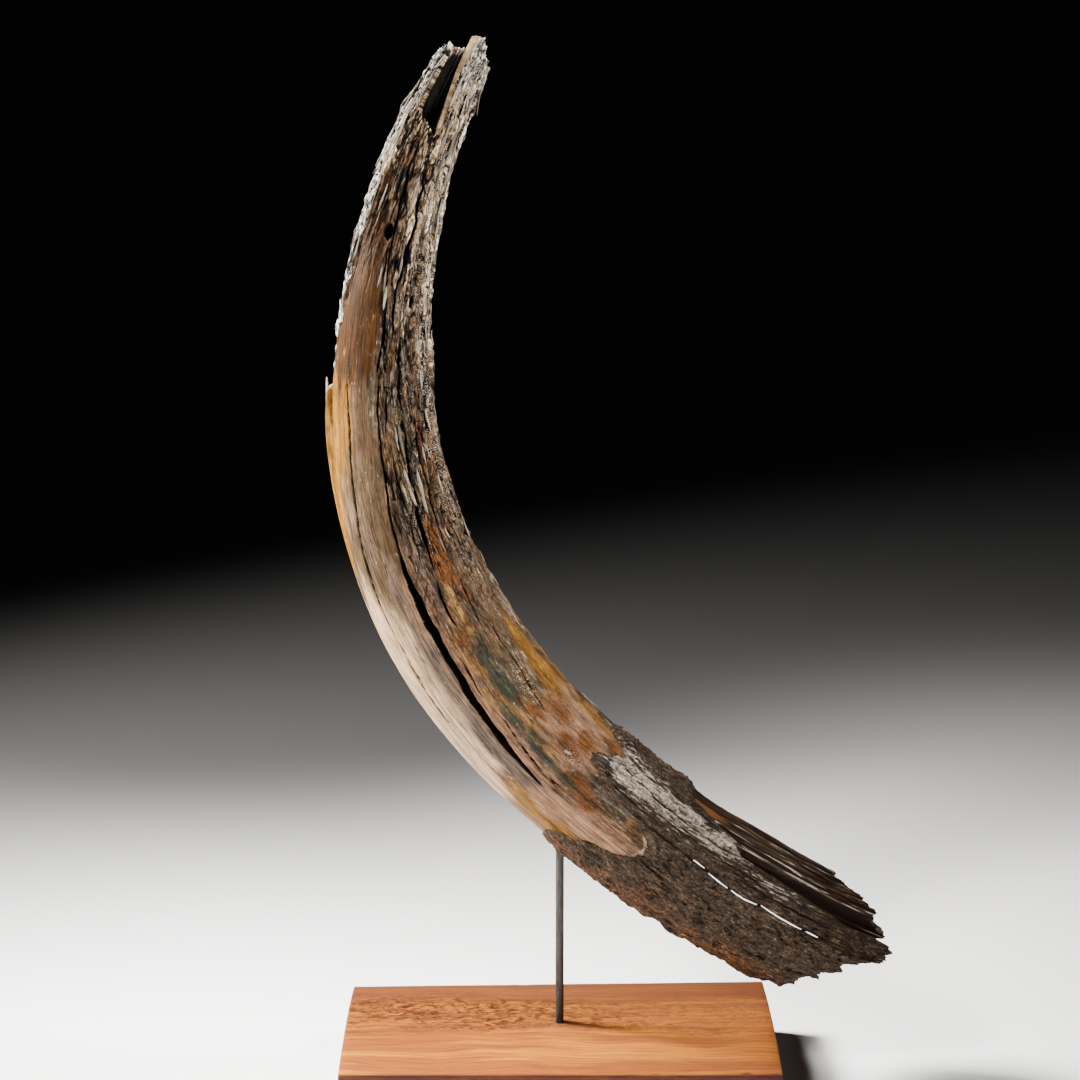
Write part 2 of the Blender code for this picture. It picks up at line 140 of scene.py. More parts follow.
def ringsPiece(name, shapes):
    # closed bodies in one mesh, each from rings of points
    piece = addPrimitive(bpy.ops.mesh.primitive_cube_add, name, size=1.0)
    verts, faces = [], []
    for rings in shapes:
        base, sides = len(verts), len(rings[0])
        last = base + sides * (len(rings) - 1)
        verts.extend(tuple(point) for ring in rings for point in ring)
        faces.append(tuple(range(base, base + sides)))
        faces.append(tuple(range(last + sides - 1, last - 1, -1)))
        for i in range(base, last, sides):
            for k in range(sides):
                m = (k + 1) % sides
                faces.append((i + k, i + sides + k, i + sides + m, i + m))
    piece.data.clear_geometry()
    piece.data.from_pydata(verts, [], faces)
    piece.data.update()
    faceOutwards(piece)
    return piece


def signedVolume(mesh):
    # negative where the faces point into the solid
    mesh.calc_loop_triangles()
    corners = np.empty(len(mesh.loop_triangles) * 3, dtype=np.int32)
    mesh.loop_triangles.foreach_get("vertices", corners)
    first, second, third = np.moveaxis(readSpots(mesh)[corners.reshape(-1, 3)], 1, 0)
    return float(np.einsum("ij,ij->i", first, np.cross(second, third)).sum() / 6.0)


def gridPiece(name, points, masks):
    # a grid primitive wrapped onto rows of points that close on themselves
    rows, columns = points.shape[:2]
    piece = addPrimitive(bpy.ops.mesh.primitive_grid_add, name, x_subdivisions=columns - 1,
                         y_subdivisions=rows - 1, size=2.0)
    mesh = piece.data
    share = (readSpots(mesh) + 1.0) / 2.0
    column = np.rint(share[:, 0] * (columns - 1)).astype(int)
    row = np.rint(share[:, 1] * (rows - 1)).astype(int)
    mesh.vertices.foreach_set("co", points[row, column].ravel())
    for label, values in masks.items():
        kind, field = ("FLOAT_VECTOR", "vector") if values.ndim == 3 else ("FLOAT", "value")
        layer = mesh.attributes.new(label, kind, "POINT")
        layer.data.foreach_set(field, values[row, column].ravel())
    editAll(piece)
    bpy.ops.mesh.remove_doubles(threshold=0.000004)
    leaveEdit()
    faceOutwards(piece)
    if signedVolume(mesh) < 0.0:
        editAll(piece)
        bpy.ops.mesh.flip_normals()
        leaveEdit()
    mesh.shade_smooth()
    print(name, len(mesh.polygons), "faces")
    return piece


# number helpers
def smoothStep(low, high, value):
    t = np.clip((value - low) / (high - low), 0.0, 1.0)
    return t * t * (3.0 - 2.0 * t)


def curveThrough(knots, values, where):
    # cubic through the values, slopes from the neighbours
    knots = np.asarray(knots, float)
    values = np.asarray(values, float).reshape(len(knots), -1)
    where = np.atleast_1d(np.asarray(where, float))
    step = np.diff(knots)[:, None]
    slope = np.diff(values, axis=0) / step
    tangent = np.empty_like(values)
    tangent[1:-1] = (slope[:-1] * step[1:] + slope[1:] * step[:-1]) / (step[1:] + step[:-1])
    tangent[0] = 2.0 * slope[0] - tangent[1]
    tangent[-1] = 2.0 * slope[-1] - tangent[-2]
    i = np.clip(np.searchsorted(knots, where, side="right") - 1, 0, len(knots) - 2)
    h = step[i]
    t = ((where - knots[i]) / (knots[i + 1] - knots[i]))[:, None]
    return ((2 * t**3 - 3 * t**2 + 1) * values[i] + (t**3 - 2 * t**2 + t) * h * tangent[i]
            + (3 * t**2 - 2 * t**3) * values[i + 1] + (t**3 - t**2) * h * tangent[i + 1])


def closedLine(line, angle):
    # metres along the tusk, from a line of (degrees, millimetres) that closes on itself
    angles, alongs = zip(*line)
    turned = (np.asarray(angle, float) - angles[0]) % 360.0 + angles[0]
    return np.interp(turned, (*angles, angles[0] + 360.0), np.array((*alongs, alongs[0])) / 1000.0)


def wrapped(angle):
    return (np.asarray(angle, float) + 180.0) % 360.0 - 180.0


def unit(vectors):
    return vectors / np.linalg.norm(vectors, axis=1)[:, None]


def noiseAt(x, y, z):
    x, y, z = np.broadcast_arrays(np.atleast_1d(x), y, z)
    return np.fromiter((noise.noise(p) for p in zip(x, y, z)), float, len(x))


def fallOff(value, reach):
    return np.exp(-(value / reach) ** 2)


# the tusk's form, in millimetres along its centreline and degrees round it
tuskForm = {
    # x, y, z, half width to the outer side, half width to the hollow side
    "stations": [
        (-92, 50, 1218, 28, 30), (-107, 44, 1191, 29, 32), (-152, 29, 1095, 39, 41),
        (-184, 14, 990, 45, 49), (-200, 2, 881, 50, 56), (-196, -9, 771, 58, 62),
        (-171, -16, 663, 69, 67), (-125, -19, 560, 74, 71), (-61, -18, 463, 73, 75),
        (20, -13, 376, 70, 77), (113, -4, 297, 71, 76), (216, 9, 230, 74, 73), (301, 20, 184, 74, 68),
        (395, 32, 141, 72, 64),
    ],
    "flatness": 0.94,
    # the broken rim of the thin end, with the gap in its near wall
    "rim": [
        (-90, 34), (-72, 32), (-60, 30), (-50, 26), (-44, 29), (-38, 40), (-36, 94), (-32, 104),
        (-24, 110), (-14, 112), (-4, 116), (5, 121), (12, 127), (15.5, 118), (17, 62), (18.5, 8),
        (22, 3), (30, 10), (38, 16), (46, 18), (54, 24), (73, 32), (110, 28), (140, 22), (160, 16),
        (200, 21), (225, 30), (250, 40),
    ],
    "crustStart": [
        (-75, 944), (-66, 938), (-58, 936), (-44, 934), (-38, 952), (-32, 962), (-25, 976), (-20, 994),
        (-14, 1014), (-4, 1022), (3, 1024), (9, 1018), (14, 1008), (19, 990), (20.5, 958), (22, 942),
        (25, 934), (29, 922), (33, 906), (39, 904), (45, 912), (50, 930), (58, 938), (67, 932),
        (72, 914), (78, 910), (96, 916), (125, 950), (150, 905), (180, 925), (210, 975), (240, 965),
        (268, 952),
    ],
    "crustStop": [
        (24, 1400), (28, 1330), (30, 1290), (36, 1248), (40, 1200), (43, 1130), (54, 1120), (59, 1096),
        (65, 1074), (71, 1046), (80, 1043), (100, 1050), (120, 1075), (140, 1140), (160, 1260),
        (175, 1400), (355, 1400),
    ],
    "wideEnd": [
        (-72, 1244), (-64, 1254), (-57, 1270), (-50, 1266), (-43, 1262), (-36, 1272), (-28, 1284),
        (-22, 1281), (-17, 1292), (-12, 1303), (-8, 1297), (-4, 1301), (-1, 1314), (6, 1330),
        (12, 1342), (16, 1346), (24, 1348), (28, 1340), (31, 1320), (36, 1336), (41, 1334), (46, 1326),
        (54, 1318), (60, 1312), (68, 1300), (79, 1284), (90, 1264), (110, 1240), (130, 1248),
        (150, 1268), (180, 1254), (205, 1274), (235, 1248), (265, 1246),
    ],
}

stations = np.array(tuskForm["stations"]) / 1000.0
stationKnots = np.r_[0.0, np.cumsum(np.linalg.norm(np.diff(stations[:, :3], axis=0), axis=1))]
fineKnots = np.linspace(0.0, stationKnots[-1], 3000)
finePoints = curveThrough(stationKnots, stations[:, :3], fineKnots)
fineAlong = np.r_[0.0, np.cumsum(np.linalg.norm(np.diff(finePoints, axis=0), axis=1))]


def sectionFrame(along):
    # centre, run, direction to the hollow side, direction to the front
    knot = np.interp(along, fineAlong, fineKnots)
    centre, ahead, behind = (
        curveThrough(stationKnots, stations[:, :3], np.clip(knot + step, 0, stationKnots[-1]))
        for step in (0.0, 1e-3, -1e-3))
    run = unit(ahead - behind)
    side = unit(np.cross(np.array([0.0, -1.0, 0.0]), run))
    return centre, run, side, np.cross(run, side)


def halfWidths(along):
    knot = np.interp(along, fineAlong, fineKnots)
    return curveThrough(stationKnots, stations[:, 3:5], knot).T


def place(along, angle, height=0.0, inward=0.0):
    # height lifts a point off the plain section, inward 1 brings it to the centre
    along, angle, height, inward = np.broadcast_arrays(np.atleast_1d(along), angle, height, inward)
    turn = np.radians(angle)
    centre, _, side, front = sectionFrame(along)
    outer, hollow = halfWidths(along)
    across = np.where(np.sin(turn) > 0.0, hollow, outer) + height
    depth = tuskForm["flatness"] * (outer + hollow) / 2.0 + height
    scale = 1.0 - inward
    return (centre + side * (np.sin(turn) * across * scale)[:, None]
            + front * (np.cos(turn) * depth * scale)[:, None])


def pole(along, count):
    # a point of the centreline, once for each column
    return np.repeat(place(along, 0.0, 0.0, 1.0), count, axis=0)


def straightSpace(along, angle):
    # the same surface on a straight tusk, for patterns that run along it
    outer, hollow = halfWidths(along)
    radius = (outer + hollow) / 2.0
    turn = np.radians(angle)
    return np.stack([np.cos(turn) * radius, np.sin(turn) * radius, along], axis=1)


def flatGrid(alongs, angle):
    # a grid with a row per ring and a column per angle, as two plain lists
    return alongs.ravel(), np.tile(angle, len(alongs))


def columnAngles(count, crowd=0.42):
    # columns stand closer together at the front, where the cracks are finest
    even = np.linspace(-math.pi, math.pi, count)
    return np.degrees(even - crowd * np.sin(even))


def rowsBetween(start, stop, count):
    return start + (stop - start) * np.linspace(0.0, 1.0, count)[:, None]


# patterns on the tusk
def ripple(points, wide, long, seed):
    # smooth noise, "wide" round the tusk and "long" down it, in metres
    return noiseAt(points[:, 0] / wide + seed, points[:, 1] / wide, points[:, 2] / long)


def ripples(points, waves):
    return {name: ripple(points, *numbers) for name, numbers in waves.items()}


def plates(points, wide, long, seed):
    # cells drawn out along the tusk: gap in metres to the next cell, and a level per cell
    gap = np.empty(len(points))
    level = np.empty(len(points))
    spots = zip(points[:, 0] / wide + seed, points[:, 1] / wide, points[:, 2] / long)
    for i, spot in enumerate(spots):
        distances, cells = noise.voronoi(spot)
        gap[i] = distances[1] - distances[0]
        level[i] = noise.cell(cells[0] * 7.3)
    return gap * wide * 0.5, level * 2.0 - 1.0


def grain(along, angle, around, length, seed):
    turn = np.radians(angle)
    return noiseAt(around * np.cos(turn) + seed, around * np.sin(turn), along / length)


def noiseSum(along, angle, parts):
    return sum(share * grain(along, angle, around, length, seed)
               for around, length, seed, share in parts)


def jagged(angle, parts):
    # an uneven line round the tusk, from parts of (waves round, seed, height)
    turn = np.radians(angle)
    return sum(height * noiseAt(around * np.cos(turn), around * np.sin(turn), seed)
               for around, seed, height in parts)


def ovalMask(along, angle, ovals, power=1.0, tight=1.0):
    # soft ovals: millimetres along, degrees round, reach along, reach round, strength
    total = np.zeros(len(along))
    for centre, middle, reach, width, strength in ovals:
        u = (along - centre / 1000.0) / (reach / 1000.0)
        v = wrapped(angle - middle) / width
        total = np.maximum(total, strength * np.exp(-(u * u + v * v) ** power * tight))
    return total


# relief of the bared ivory
reliefSettings = {
    # where the smooth band begins and ends round the tusk: metres along, degrees
    "smoothLow": ([0.23, 0.33, 0.41, 0.60], [-45, -62, -85, -125]),
    "smoothHigh": ([0.23, 0.29, 0.36, 0.47, 0.90], [-12, -8, 3, -2, -8]),
    # waves round, length in metres, seed, share
    "furrows": [(4.2, 0.070, 3.0, 1.0), (7.5, 0.035, 9.0, 0.6)],
    # waves and cells: wide, long, seed
    "waves": {
        "warpX": (0.010, 0.026, 4.0), "warpY": (0.010, 0.026, 5.0), "warpAlong": (0.008, 0.030, 7.0),
        "presence": (0.022, 0.060, 6.0), "fibres": (0.0022, 0.035, 11.0),
        "crumbs": (0.0045, 0.0090, 14.0), "grit": (0.0022, 0.0040, 17.0),
        "swell": (0.030, 0.220, 19.0), "ledge": (0.006, 1.0, 23.0), "pits": (0.006, 0.010, 27.0),
    },
    "slats": (0.0068, 0.036, 2.0),
    "fineSlats": (0.0036, 0.024, 31.0),
    "smoothDepth": 0.0005,
    "roughDepth": 0.0026,
    "ledgeStart": 0.408,
    "ledgeHeight": 0.0070,
    "slatLift": 0.0012,
    "slatCrack": 0.0030,
    "slatGap": 0.00065,
    "fineGap": 0.0007,
}


def roughness(along, angle):
    low = np.interp(along, *reliefSettings["smoothLow"])
    high = np.interp(along, *reliefSettings["smoothHigh"])
    outside = np.maximum(smoothStep(-10, 4, low - angle), smoothStep(-5, 5, angle - high))
    nearThinEnd = 1.0 - smoothStep(0.20, 0.32, along)
    return np.maximum(outside * (1.0 - 0.70 * smoothStep(0.50, 0.80, along)), nearThinEnd)


# cracks: (millimetres along, degrees, width) down each, then the depth,
# both in tenths of a millimetre
cracks = [
    ([(392, 3, 15), (430, 0, 30), (466, 0, 22), (510, -2, 30), (542, -4, 26), (574, -5, 34),
      (600, -6, 30)], 120),
    ([(592, -6, 24), (612, -6.5, 50), (638, -6, 92), (665, -6.5, 104), (690, -6.5, 76), (728, -6.5, 84),
      (772, -8, 98), (800, -9, 70), (822, -10, 86), (845, -11, 46), (885, -13, 10)], 300),
    ([(404, -39, 10), (458, -37, 24), (490, -38, 20), (534, -40, 25), (578, -43, 22), (620, -44, 25),
      (664, -44, 10)], 40),
    ([(676, -43, 10), (706, -44, 25), (740, -45, 25), (776, -45, 8)], 50),
    ([(130, -8, 10), (152, -8, 30), (184, -6, 50), (228, -2, 36), (282, 1, 20), (324, 6, 20),
      (358, 5, 46), (388, 1, 30)], 90),
    ([(174, 19, 20), (205, 24, 58), (228, 25, 50), (250, 21, 56), (292, 18, 62), (332, 16, 20)], 100),
    ([(166, -66, 20), (190, -60, 48), (214, -57, 20)], 60),
    ([(190, -50, 14), (206, -46, 36), (226, -43, 16)], 50),
    ([(150, -38, 14), (164, -41, 40), (182, -43, 14)], 50),
    ([(236, -52, 12), (262, -49, 36), (300, -50, 26), (324, -55, 8)], 50),
    ([(350, 28, 20), (378, 26, 58), (408, 25, 50), (438, 29, 20)], 100),
    ([(410, 12, 14), (432, 9, 34), (462, 7, 12)], 60),
    ([(450, 29, 22), (480, 28, 50), (510, 25, 30), (552, 24, 60), (578, 23, 70), (600, 21, 36),
      (616, 20, 10)], 120),
    ([(446, 41, 20), (470, 39, 52), (500, 40, 30), (526, 42, 50), (552, 41, 44), (580, 40, 20)], 90),
    ([(486, 11, 14), (506, 11, 36), (526, 12, 12)], 60),
    ([(628, 17, 16), (648, 15, 52), (672, 14, 34), (694, 15, 12)], 70),
    ([(640, 40, 10), (672, 38, 30), (704, 36, 18), (738, 33, 10)], 40),
    ([(700, 47, 10), (726, 45, 28), (762, 44, 34), (806, 39, 26), (836, 35, 8)], 60),
    ([(716, 3, 10), (736, 2, 30), (768, 0, 10)], 50),
    ([(520, 56, 12), (566, 51, 30), (596, 52, 12)], 50),
    ([(402, -77, 62), (416, -76, 56), (440, -74, 36), (478, -71, 8)], 90),
    ([(884, -2, 10), (894, -2, 26), (904, -2, 10)], 30),
    ([(800, 3, 8), (850, -1, 22), (900, -5, 8)], 30),
    ([(300, 60, 14), (345, 62, 44), (400, 58, 14)], 70),
    ([(250, 95, 20), (330, 100, 60), (420, 97, 46), (520, 104, 12)], 100),
    ([(560, 112, 14), (640, 108, 50), (720, 116, 60), (800, 110, 14)], 120),
    ([(300, 150, 14), (380, 158, 50), (470, 150, 40), (560, 160, 14)], 100),
    ([(620, 172, 14), (700, 180, 46), (790, 172, 60), (870, 181, 14)], 140),
    ([(420, -128, 10), (520, -122, 30), (640, -126, 24), (720, -120, 10)], 50),
]

# small hollows: along, angle, length, width, depth, in millimetres
pits = [
    (239, -10, 17, 10, 12), (630, 65, 13, 7.5, 10), (639.5, 58, 8, 5, 6), (452, 27, 10, 6, 8),
    (310, 38, 12, 5, 6),
]

crackSettings = {
    # kinds by their widest place: up to this width, length of a swelling, unevenness, jog,
    # share of the width, reach of the painted shade past the crack's edge
    "kinds": [
        (0.0025, 0.006, 0.45, 0.0014, 1.00, 0.0007),
        (0.0069, 0.006, 0.45, 0.0014, 0.62, 0.0004),
        (0.0070, 0.006, 0.45, 0.0014, 1.00, 0.0004),
        (0.0999, 0.014, 0.22, 0.0003, 0.80, 0.0013),
    ],
    "hairline": 0.0025,
    "wanderLong": 0.011,
    "jogLong": 0.017,
    "fullJog": 0.004,        # width from which a crack jogs in full
    "wall": 0.0005,
    "fade": 0.0007,
}


def crackDepth(along, angle, table):
    # deepest crack at each point, and how far the point is in one, 0 to 1, which is painted as shade
    # wide cracks keep straighter walls, hairline ones come and go
    s = crackSettings
    radius = halfWidths(along).mean(axis=0)
    deepest = np.zeros(len(along))
    inside = np.zeros(len(along))
    for number, (points, depth) in enumerate(table):
        points = np.array(points) / (1000.0, 1.0, 10000.0)
        near = (along > points[0, 0]) & (along < points[-1, 0])
        a, g = along[near], angle[near]
        widest = points[:, 2].max()
        _, swellLong, uneven, jogged, slim, dark = next(kind for kind in s["kinds"] if widest <= kind[0])
        wander = noiseAt(a / s["wanderLong"], number * 3.7, 0.5)
        swell = noiseAt(a / swellLong, number * 5.1, 8.5)
        jog = noiseAt(a / s["jogLong"], number * 2.3, 4.5)
        half = slim * np.interp(a, points[:, 0], points[:, 2]) / 2.0 * (1.0 + uneven * swell)
        path = curveThrough(points[:, 0], points[:, 1], a)[:, 0]
        offset = wander * half * 2.0 * uneven + jogged * jog * min(1.0, widest / s["fullJog"])
        across = np.abs(np.radians(wrapped(g - path)) * radius[near] + offset)
        within = smoothStep(half + s["wall"], half - s["wall"], across)
        profile = within * (depth / 10000.0) * np.clip(half / (0.35 * widest), 0.15, 1.0)
        deepest[near] = np.maximum(deepest[near], profile)
        shown = 0.35 + 0.65 * smoothStep(-0.25, 0.15, swell) if widest < s["hairline"] else 1.0
        # the painted shade reaches a little past the crack's edge
        edge = half + dark
        inside[near] = np.maximum(inside[near], shown * smoothStep(edge, edge - s["fade"], across))
    return deepest, inside


def tuskRelief(along, angle):
    # height of the bared tusk over the plain section, the painted shade of its cracks and pits, how rough it
    # is
    s = reliefSettings
    points = straightSpace(along, angle)
    wave = ripples(points, s["waves"])
    rough = roughness(along, angle)
    calmer = 1.0 - 0.5 * smoothStep(0.42, 0.60, along)
    height = ((s["smoothDepth"] + (s["roughDepth"] - s["smoothDepth"]) * rough * 0.8 * calmer)
              * noiseSum(along, angle, s["furrows"]))

    # slats with cracks between them, and a finer layer of both
    warp = np.stack([0.0028 * wave["warpX"], 0.0028 * wave["warpY"], 0.0060 * wave["warpAlong"]], axis=1)
    gap, level = plates(points + warp, *s["slats"])
    slatCrack = fallOff(gap, s["slatGap"]) * (rough * smoothStep(-0.15, 0.35, wave["presence"]))
    height += s["slatLift"] * level * rough
    height -= s["slatCrack"] * slatCrack
    fineGap, fineLevel = plates(points + 0.7 * warp, *s["fineSlats"])
    fineCrack = fallOff(fineGap, s["fineGap"]) * rough
    height += rough * (0.0005 * fineLevel - 0.0008 * fineCrack)

    height += wave["fibres"] * (0.00012 + 0.00060 * rough)
    weathered = np.maximum(1.0 - smoothStep(0.22, 0.40, along),
                           rough * smoothStep(40, 60, np.abs(angle)) * (1 - smoothStep(0.5, 0.66, along)))
    height += (wave["crumbs"] + 0.7 * wave["grit"]) * rough * (0.0003 + 0.0009 * weathered)
    height += 0.0012 * wave["swell"]

    ledge = smoothStep(-0.0012, 0.0012, along - s["ledgeStart"] - 0.003 * wave["ledge"])
    ledge *= 1.0 - smoothStep(s["ledgeStart"] + 0.03, 0.600, along)
    ledge *= smoothStep(-73, -82, angle) * smoothStep(-150, -125, angle)
    height += s["ledgeHeight"] * ledge

    deepest, inside = crackDepth(along, angle, cracks)
    # painted shade in the cracks, the slat gaps and faintly the fine gaps
    openness = np.maximum(np.maximum(inside, 0.85 * smoothStep(0.30, 0.75, slatCrack)), 0.10 * fineCrack)
    radius = halfWidths(along).mean(axis=0)
    for pit in pits:
        centreAlong, centreAngle, length, width, depth = np.array(pit) / (1000.0, 1.0, 1000.0, 1000.0, 1000.0)
        across = np.radians(wrapped(angle - centreAngle)) * radius / (width / 2.0)
        reach = ((along - centreAlong) / (length / 2.0)) ** 2 + across ** 2
        reach = reach * (1.0 + 0.5 * wave["pits"])
        deepest = np.maximum(deepest, depth * smoothStep(1.25, 0.55, reach))
        # painted shade in the pit
        openness = np.maximum(openness, smoothStep(1.30, 0.85, reach))
    return height - deepest, openness, rough


print("relief ready")

# stains: where each tone lies, as soft ovals
stains = {
    "fawn": [
        (60, -10, 90, 70, 1.1), (150, 42, 120, 44, 1.2), (240, 50, 80, 30, 1.0),
        (150, -58, 100, 26, 0.9), (330, 60, 90, 14, 0.6), (250, 22, 50, 12, 0.9),
        (430, 64, 70, 10, 0.3), (200, 150, 220, 90, 0.8), (330, 31, 35, 6, 0.6),
    ],
    "cream": [
        (690, -58, 75, 32, 1.0), (770, -52, 80, 34, 1.0), (835, -64, 50, 30, 0.9),
        (740, -24, 60, 12, 0.7), (700, -110, 120, 34, 0.8), (232, 29, 18, 4, 1.0),
        (60, -4, 60, 10, 0.5),
    ],
    "brown": [
        (150, -8, 70, 12, 0.5), (230, 0, 80, 14, 0.8), (440, -20, 50, 13, 0.8), (500, 8, 60, 10, 0.6),
        (640, 26, 60, 14, 0.5), (560, 60, 70, 10, 0.8), (400, 48, 70, 12, 0.6), (680, 55, 60, 10, 0.8),
        (300, 44, 60, 14, 0.6), (600, 38, 60, 14, 0.8), (670, 32, 50, 12, 0.8), (700, 46, 50, 8, 0.7),
    ],
    "mauve": [
        (640, -18, 50, 7, 0.9), (720, -17, 60, 7, 1.0), (800, -20, 60, 8, 1.0), (650, 6, 60, 9, 0.9),
        (740, 3, 60, 8, 0.8), (560, -40, 50, 20, 0.4), (870, -18, 40, 10, 0.8), (570, 8, 50, 10, 0.6),
        (830, 0, 60, 8, 0.7),
    ],
    "greige": [
        (735, 36, 34, 5, 0.9), (530, -45, 70, 36, 1.0), (500, -18, 50, 16, 0.7),
        (600, -34, 60, 34, 1.1), (650, -24, 50, 14, 0.7), (450, -135, 160, 34, 0.8),
        (760, -150, 140, 30, 0.8),
    ],
    "gold": [
        (440, -66, 60, 26, 1.1), (435, -40, 45, 16, 0.7), (505, -92, 70, 17, 1.2),
        (580, -93, 60, 12, 1.0), (520, -72, 60, 15, 1.0), (570, -76, 40, 11, 0.8),
        (895, -52, 60, 24, 1.0), (935, -44, 35, 22, 0.9), (745, 66, 45, 13, 0.8),
        (810, 66, 65, 13, 1.0), (872, 70, 45, 15, 0.8), (560, 66, 40, 8, 0.5), (860, -120, 80, 30, 0.7),
        (800, 110, 100, 26, 0.6),
    ],
    "orange": [
        (300, -36, 90, 32, 1.8), (245, -38, 60, 22, 1.5), (200, -30, 40, 12, 0.6),
        (340, -50, 50, 30, 1.2), (370, -24, 45, 18, 1.0), (150, -12, 40, 14, 0.6),
        (400, -50, 55, 8, 0.6), (405, -22, 50, 6, 0.7), (520, 44, 60, 5, 0.8), (470, 48, 40, 6, 0.6),
        (560, -14, 35, 5, 0.4),
    ],
    "pink": [
        (690, 2, 100, 10, 0.8), (800, -3, 100, 10, 0.9), (970, -14, 55, 18, 1.0),
        (915, -20, 45, 13, 0.9), (872, 40, 45, 30, 1.2), (845, 60, 30, 16, 0.7), (640, -12, 60, 8, 0.5),
    ],
    "rust": [
        (420, 52, 60, 7, 0.45), (505, 60, 60, 8, 0.6), (612, 28, 34, 12, 1.1), (588, 33, 22, 9, 0.9),
        (897, 43, 14, 10, 0.8), (915, 8, 18, 8, 0.9), (700, 12, 18, 7, 0.8), (655, 38, 30, 7, 0.7),
        (880, 28, 25, 8, 0.8), (480, 45, 45, 5, 0.6), (925, 62, 18, 9, 0.6), (840, 48, 25, 9, 0.7),
        (935, 2, 14, 7, 0.7), (745, 14, 16, 5, 0.7), (690, 22, 16, 5, 0.7), (820, 30, 22, 7, 0.7),
    ],
    "tan": [
        (672, 19, 15, 6, 1.0), (702, 24, 13, 5, 0.9), (728, 10, 20, 7, 1.0), (757, 19, 14, 6, 0.9),
        (812, 13, 34, 6, 1.0), (690, 8, 16, 5, 0.7), (780, 5, 22, 5, 0.7), (845, 18, 20, 6, 0.7),
        (650, 24, 14, 5, 0.7),
    ],
    "green": [
        (640, 15, 22, 7, 0.6), (722, 22, 26, 8, 0.75), (768, 20, 26, 7, 0.8), (806, 9, 26, 6, 0.7),
        (862, 8, 34, 5, 0.8), (900, 6, 22, 5, 0.8), (685, 35, 26, 7, 0.5), (835, 13, 18, 5, 0.6),
        (440, 26, 80, 10, 0.3), (85, -47, 30, 6, 0.8),
    ],
    # silver-grey weathering with a painted highlight, strongest along the left edge
    "silverSheen": [
        (60, -72, 100, 24, 1.0), (180, -78, 100, 20, 1.2), (290, -86, 70, 15, 1.2),
        (350, -90, 40, 11, 0.8), (22, 30, 30, 26, 1.6), (385, -92, 20, 12, 1.2),
        (150, 150, 200, 80, 0.7),
    ],
    "crumbly": [
        (60, 30, 70, 26, 0.8), (180, 52, 120, 24, 0.9), (330, 66, 100, 18, 0.7),
        (450, 68, 80, 14, 0.72), (545, 68, 40, 12, 0.7), (640, 52, 60, 8, 0.35), (780, 40, 30, 8, 0.7),
        (250, 20, 120, 20, 0.35), (430, 30, 80, 18, 0.28), (60, -72, 100, 20, 0.9),
        (200, -82, 120, 18, 0.8), (890, 24, 14, 6, 1.0), (560, 20, 50, 10, 0.5),
        (300, 130, 200, 50, 0.6),
    ],
}


def stainMasks(along, angle):
    # soft ovals with ragged, drawn-out edges
    points = straightSpace(along, angle)
    slideAlong = 0.018 * ripple(points, 0.016, 0.045, 41.0)
    slideRound = 5.0 * ripple(points, 0.014, 0.050, 45.0)
    masks = {tone: ovalMask(along + slideAlong, angle + slideRound, ovals, 1.3, 0.8)
             for tone, ovals in stains.items()}
    # pale broken edge where the bark begins at the front
    fromBark = along - closedLine(tuskForm["crustStart"], angle) - 0.003 * ripple(points, 0.006, 0.02, 47.0)
    edge = fallOff(fromBark, 0.0035) * smoothStep(-42, -30, angle) * smoothStep(30, 12, angle)
    masks["cream"] = np.maximum(masks["cream"], 0.95 * edge)
    return masks


# shader helpers: a node goes into the tree of the sockets that it is given
def fill(socket, value):
    if isinstance(value, bpy.types.NodeSocket):
        socket.id_data.links.new(value, socket)
    else:
        socket.default_value = value


def treeOf(values):
    return next(value for value in values if isinstance(value, bpy.types.NodeSocket)).id_data


def addNode(tree, kind, inputs=None, **settings):
    made = tree.nodes.new(kind)
    for key, value in settings.items():
        setattr(made, key, value)
    for key, value in (inputs or {}).items():
        fill(made.inputs[key], value)
    return made


def calculate(operation, *values):
    return addNode(treeOf(values), "ShaderNodeMath", dict(enumerate(values)),
                   operation=operation).outputs[0]


def times(first, second):
    return calculate("MULTIPLY", first, second)


def timesPlus(first, factor, added):
    return calculate("MULTIPLY_ADD", first, factor, added)


def plus(first, second):
    return calculate("ADD", first, second)


def minus(first, second):
    return calculate("SUBTRACT", first, second)


def greater(first, second):
    return calculate("MAXIMUM", first, second)


def mixColour(factor, first, second, blend="MIX"):
    made = addNode(treeOf((factor, first, second)), "ShaderNodeMix", data_type="RGBA", blend_type=blend)
    for index, value in ((0, factor), (6, first), (7, second)):
        fill(made.inputs[index], (*value, 1.0) if isinstance(value, tuple) else value)
    return made.outputs[2]


def ramp(value, low, high, toLow=0.0, toHigh=1.0):
    return addNode(value.id_data, "ShaderNodeMapRange", {
        "Value": value, "From Min": low, "From Max": high, "To Min": toLow, "To Max": toHigh,
    }, interpolation_type="SMOOTHSTEP").outputs[0]


def toneRamp(value, stops):
    # colours along a value: (place, colour) from low to high
    made = addNode(value.id_data, "ShaderNodeValToRGB", {"Fac": value})
    points = made.color_ramp.elements
    while len(points) < len(stops):
        points.new(0.5)
    for point, (position, colour) in zip(points, stops):
        point.position = position
        point.color = (*colour, 1.0)
    return made.outputs[0]


def noiseTexture(vector, detail=2.0, scale=1.0, roughness=0.5, distortion=0.0):
    return addNode(vector.id_data, "ShaderNodeTexNoise", {
        "Vector": vector, "Scale": scale, "Detail": detail, "Roughness": roughness,
        "Distortion": distortion,
    }).outputs


def mappedNoise(vector, scale, detail=2.0, roughness=0.5, distortion=0.0):
    mapped = addNode(vector.id_data, "ShaderNodeMapping", {"Vector": vector, "Scale": scale}).outputs[0]
    return noiseTexture(mapped, detail, 1.0, roughness, distortion)[0]


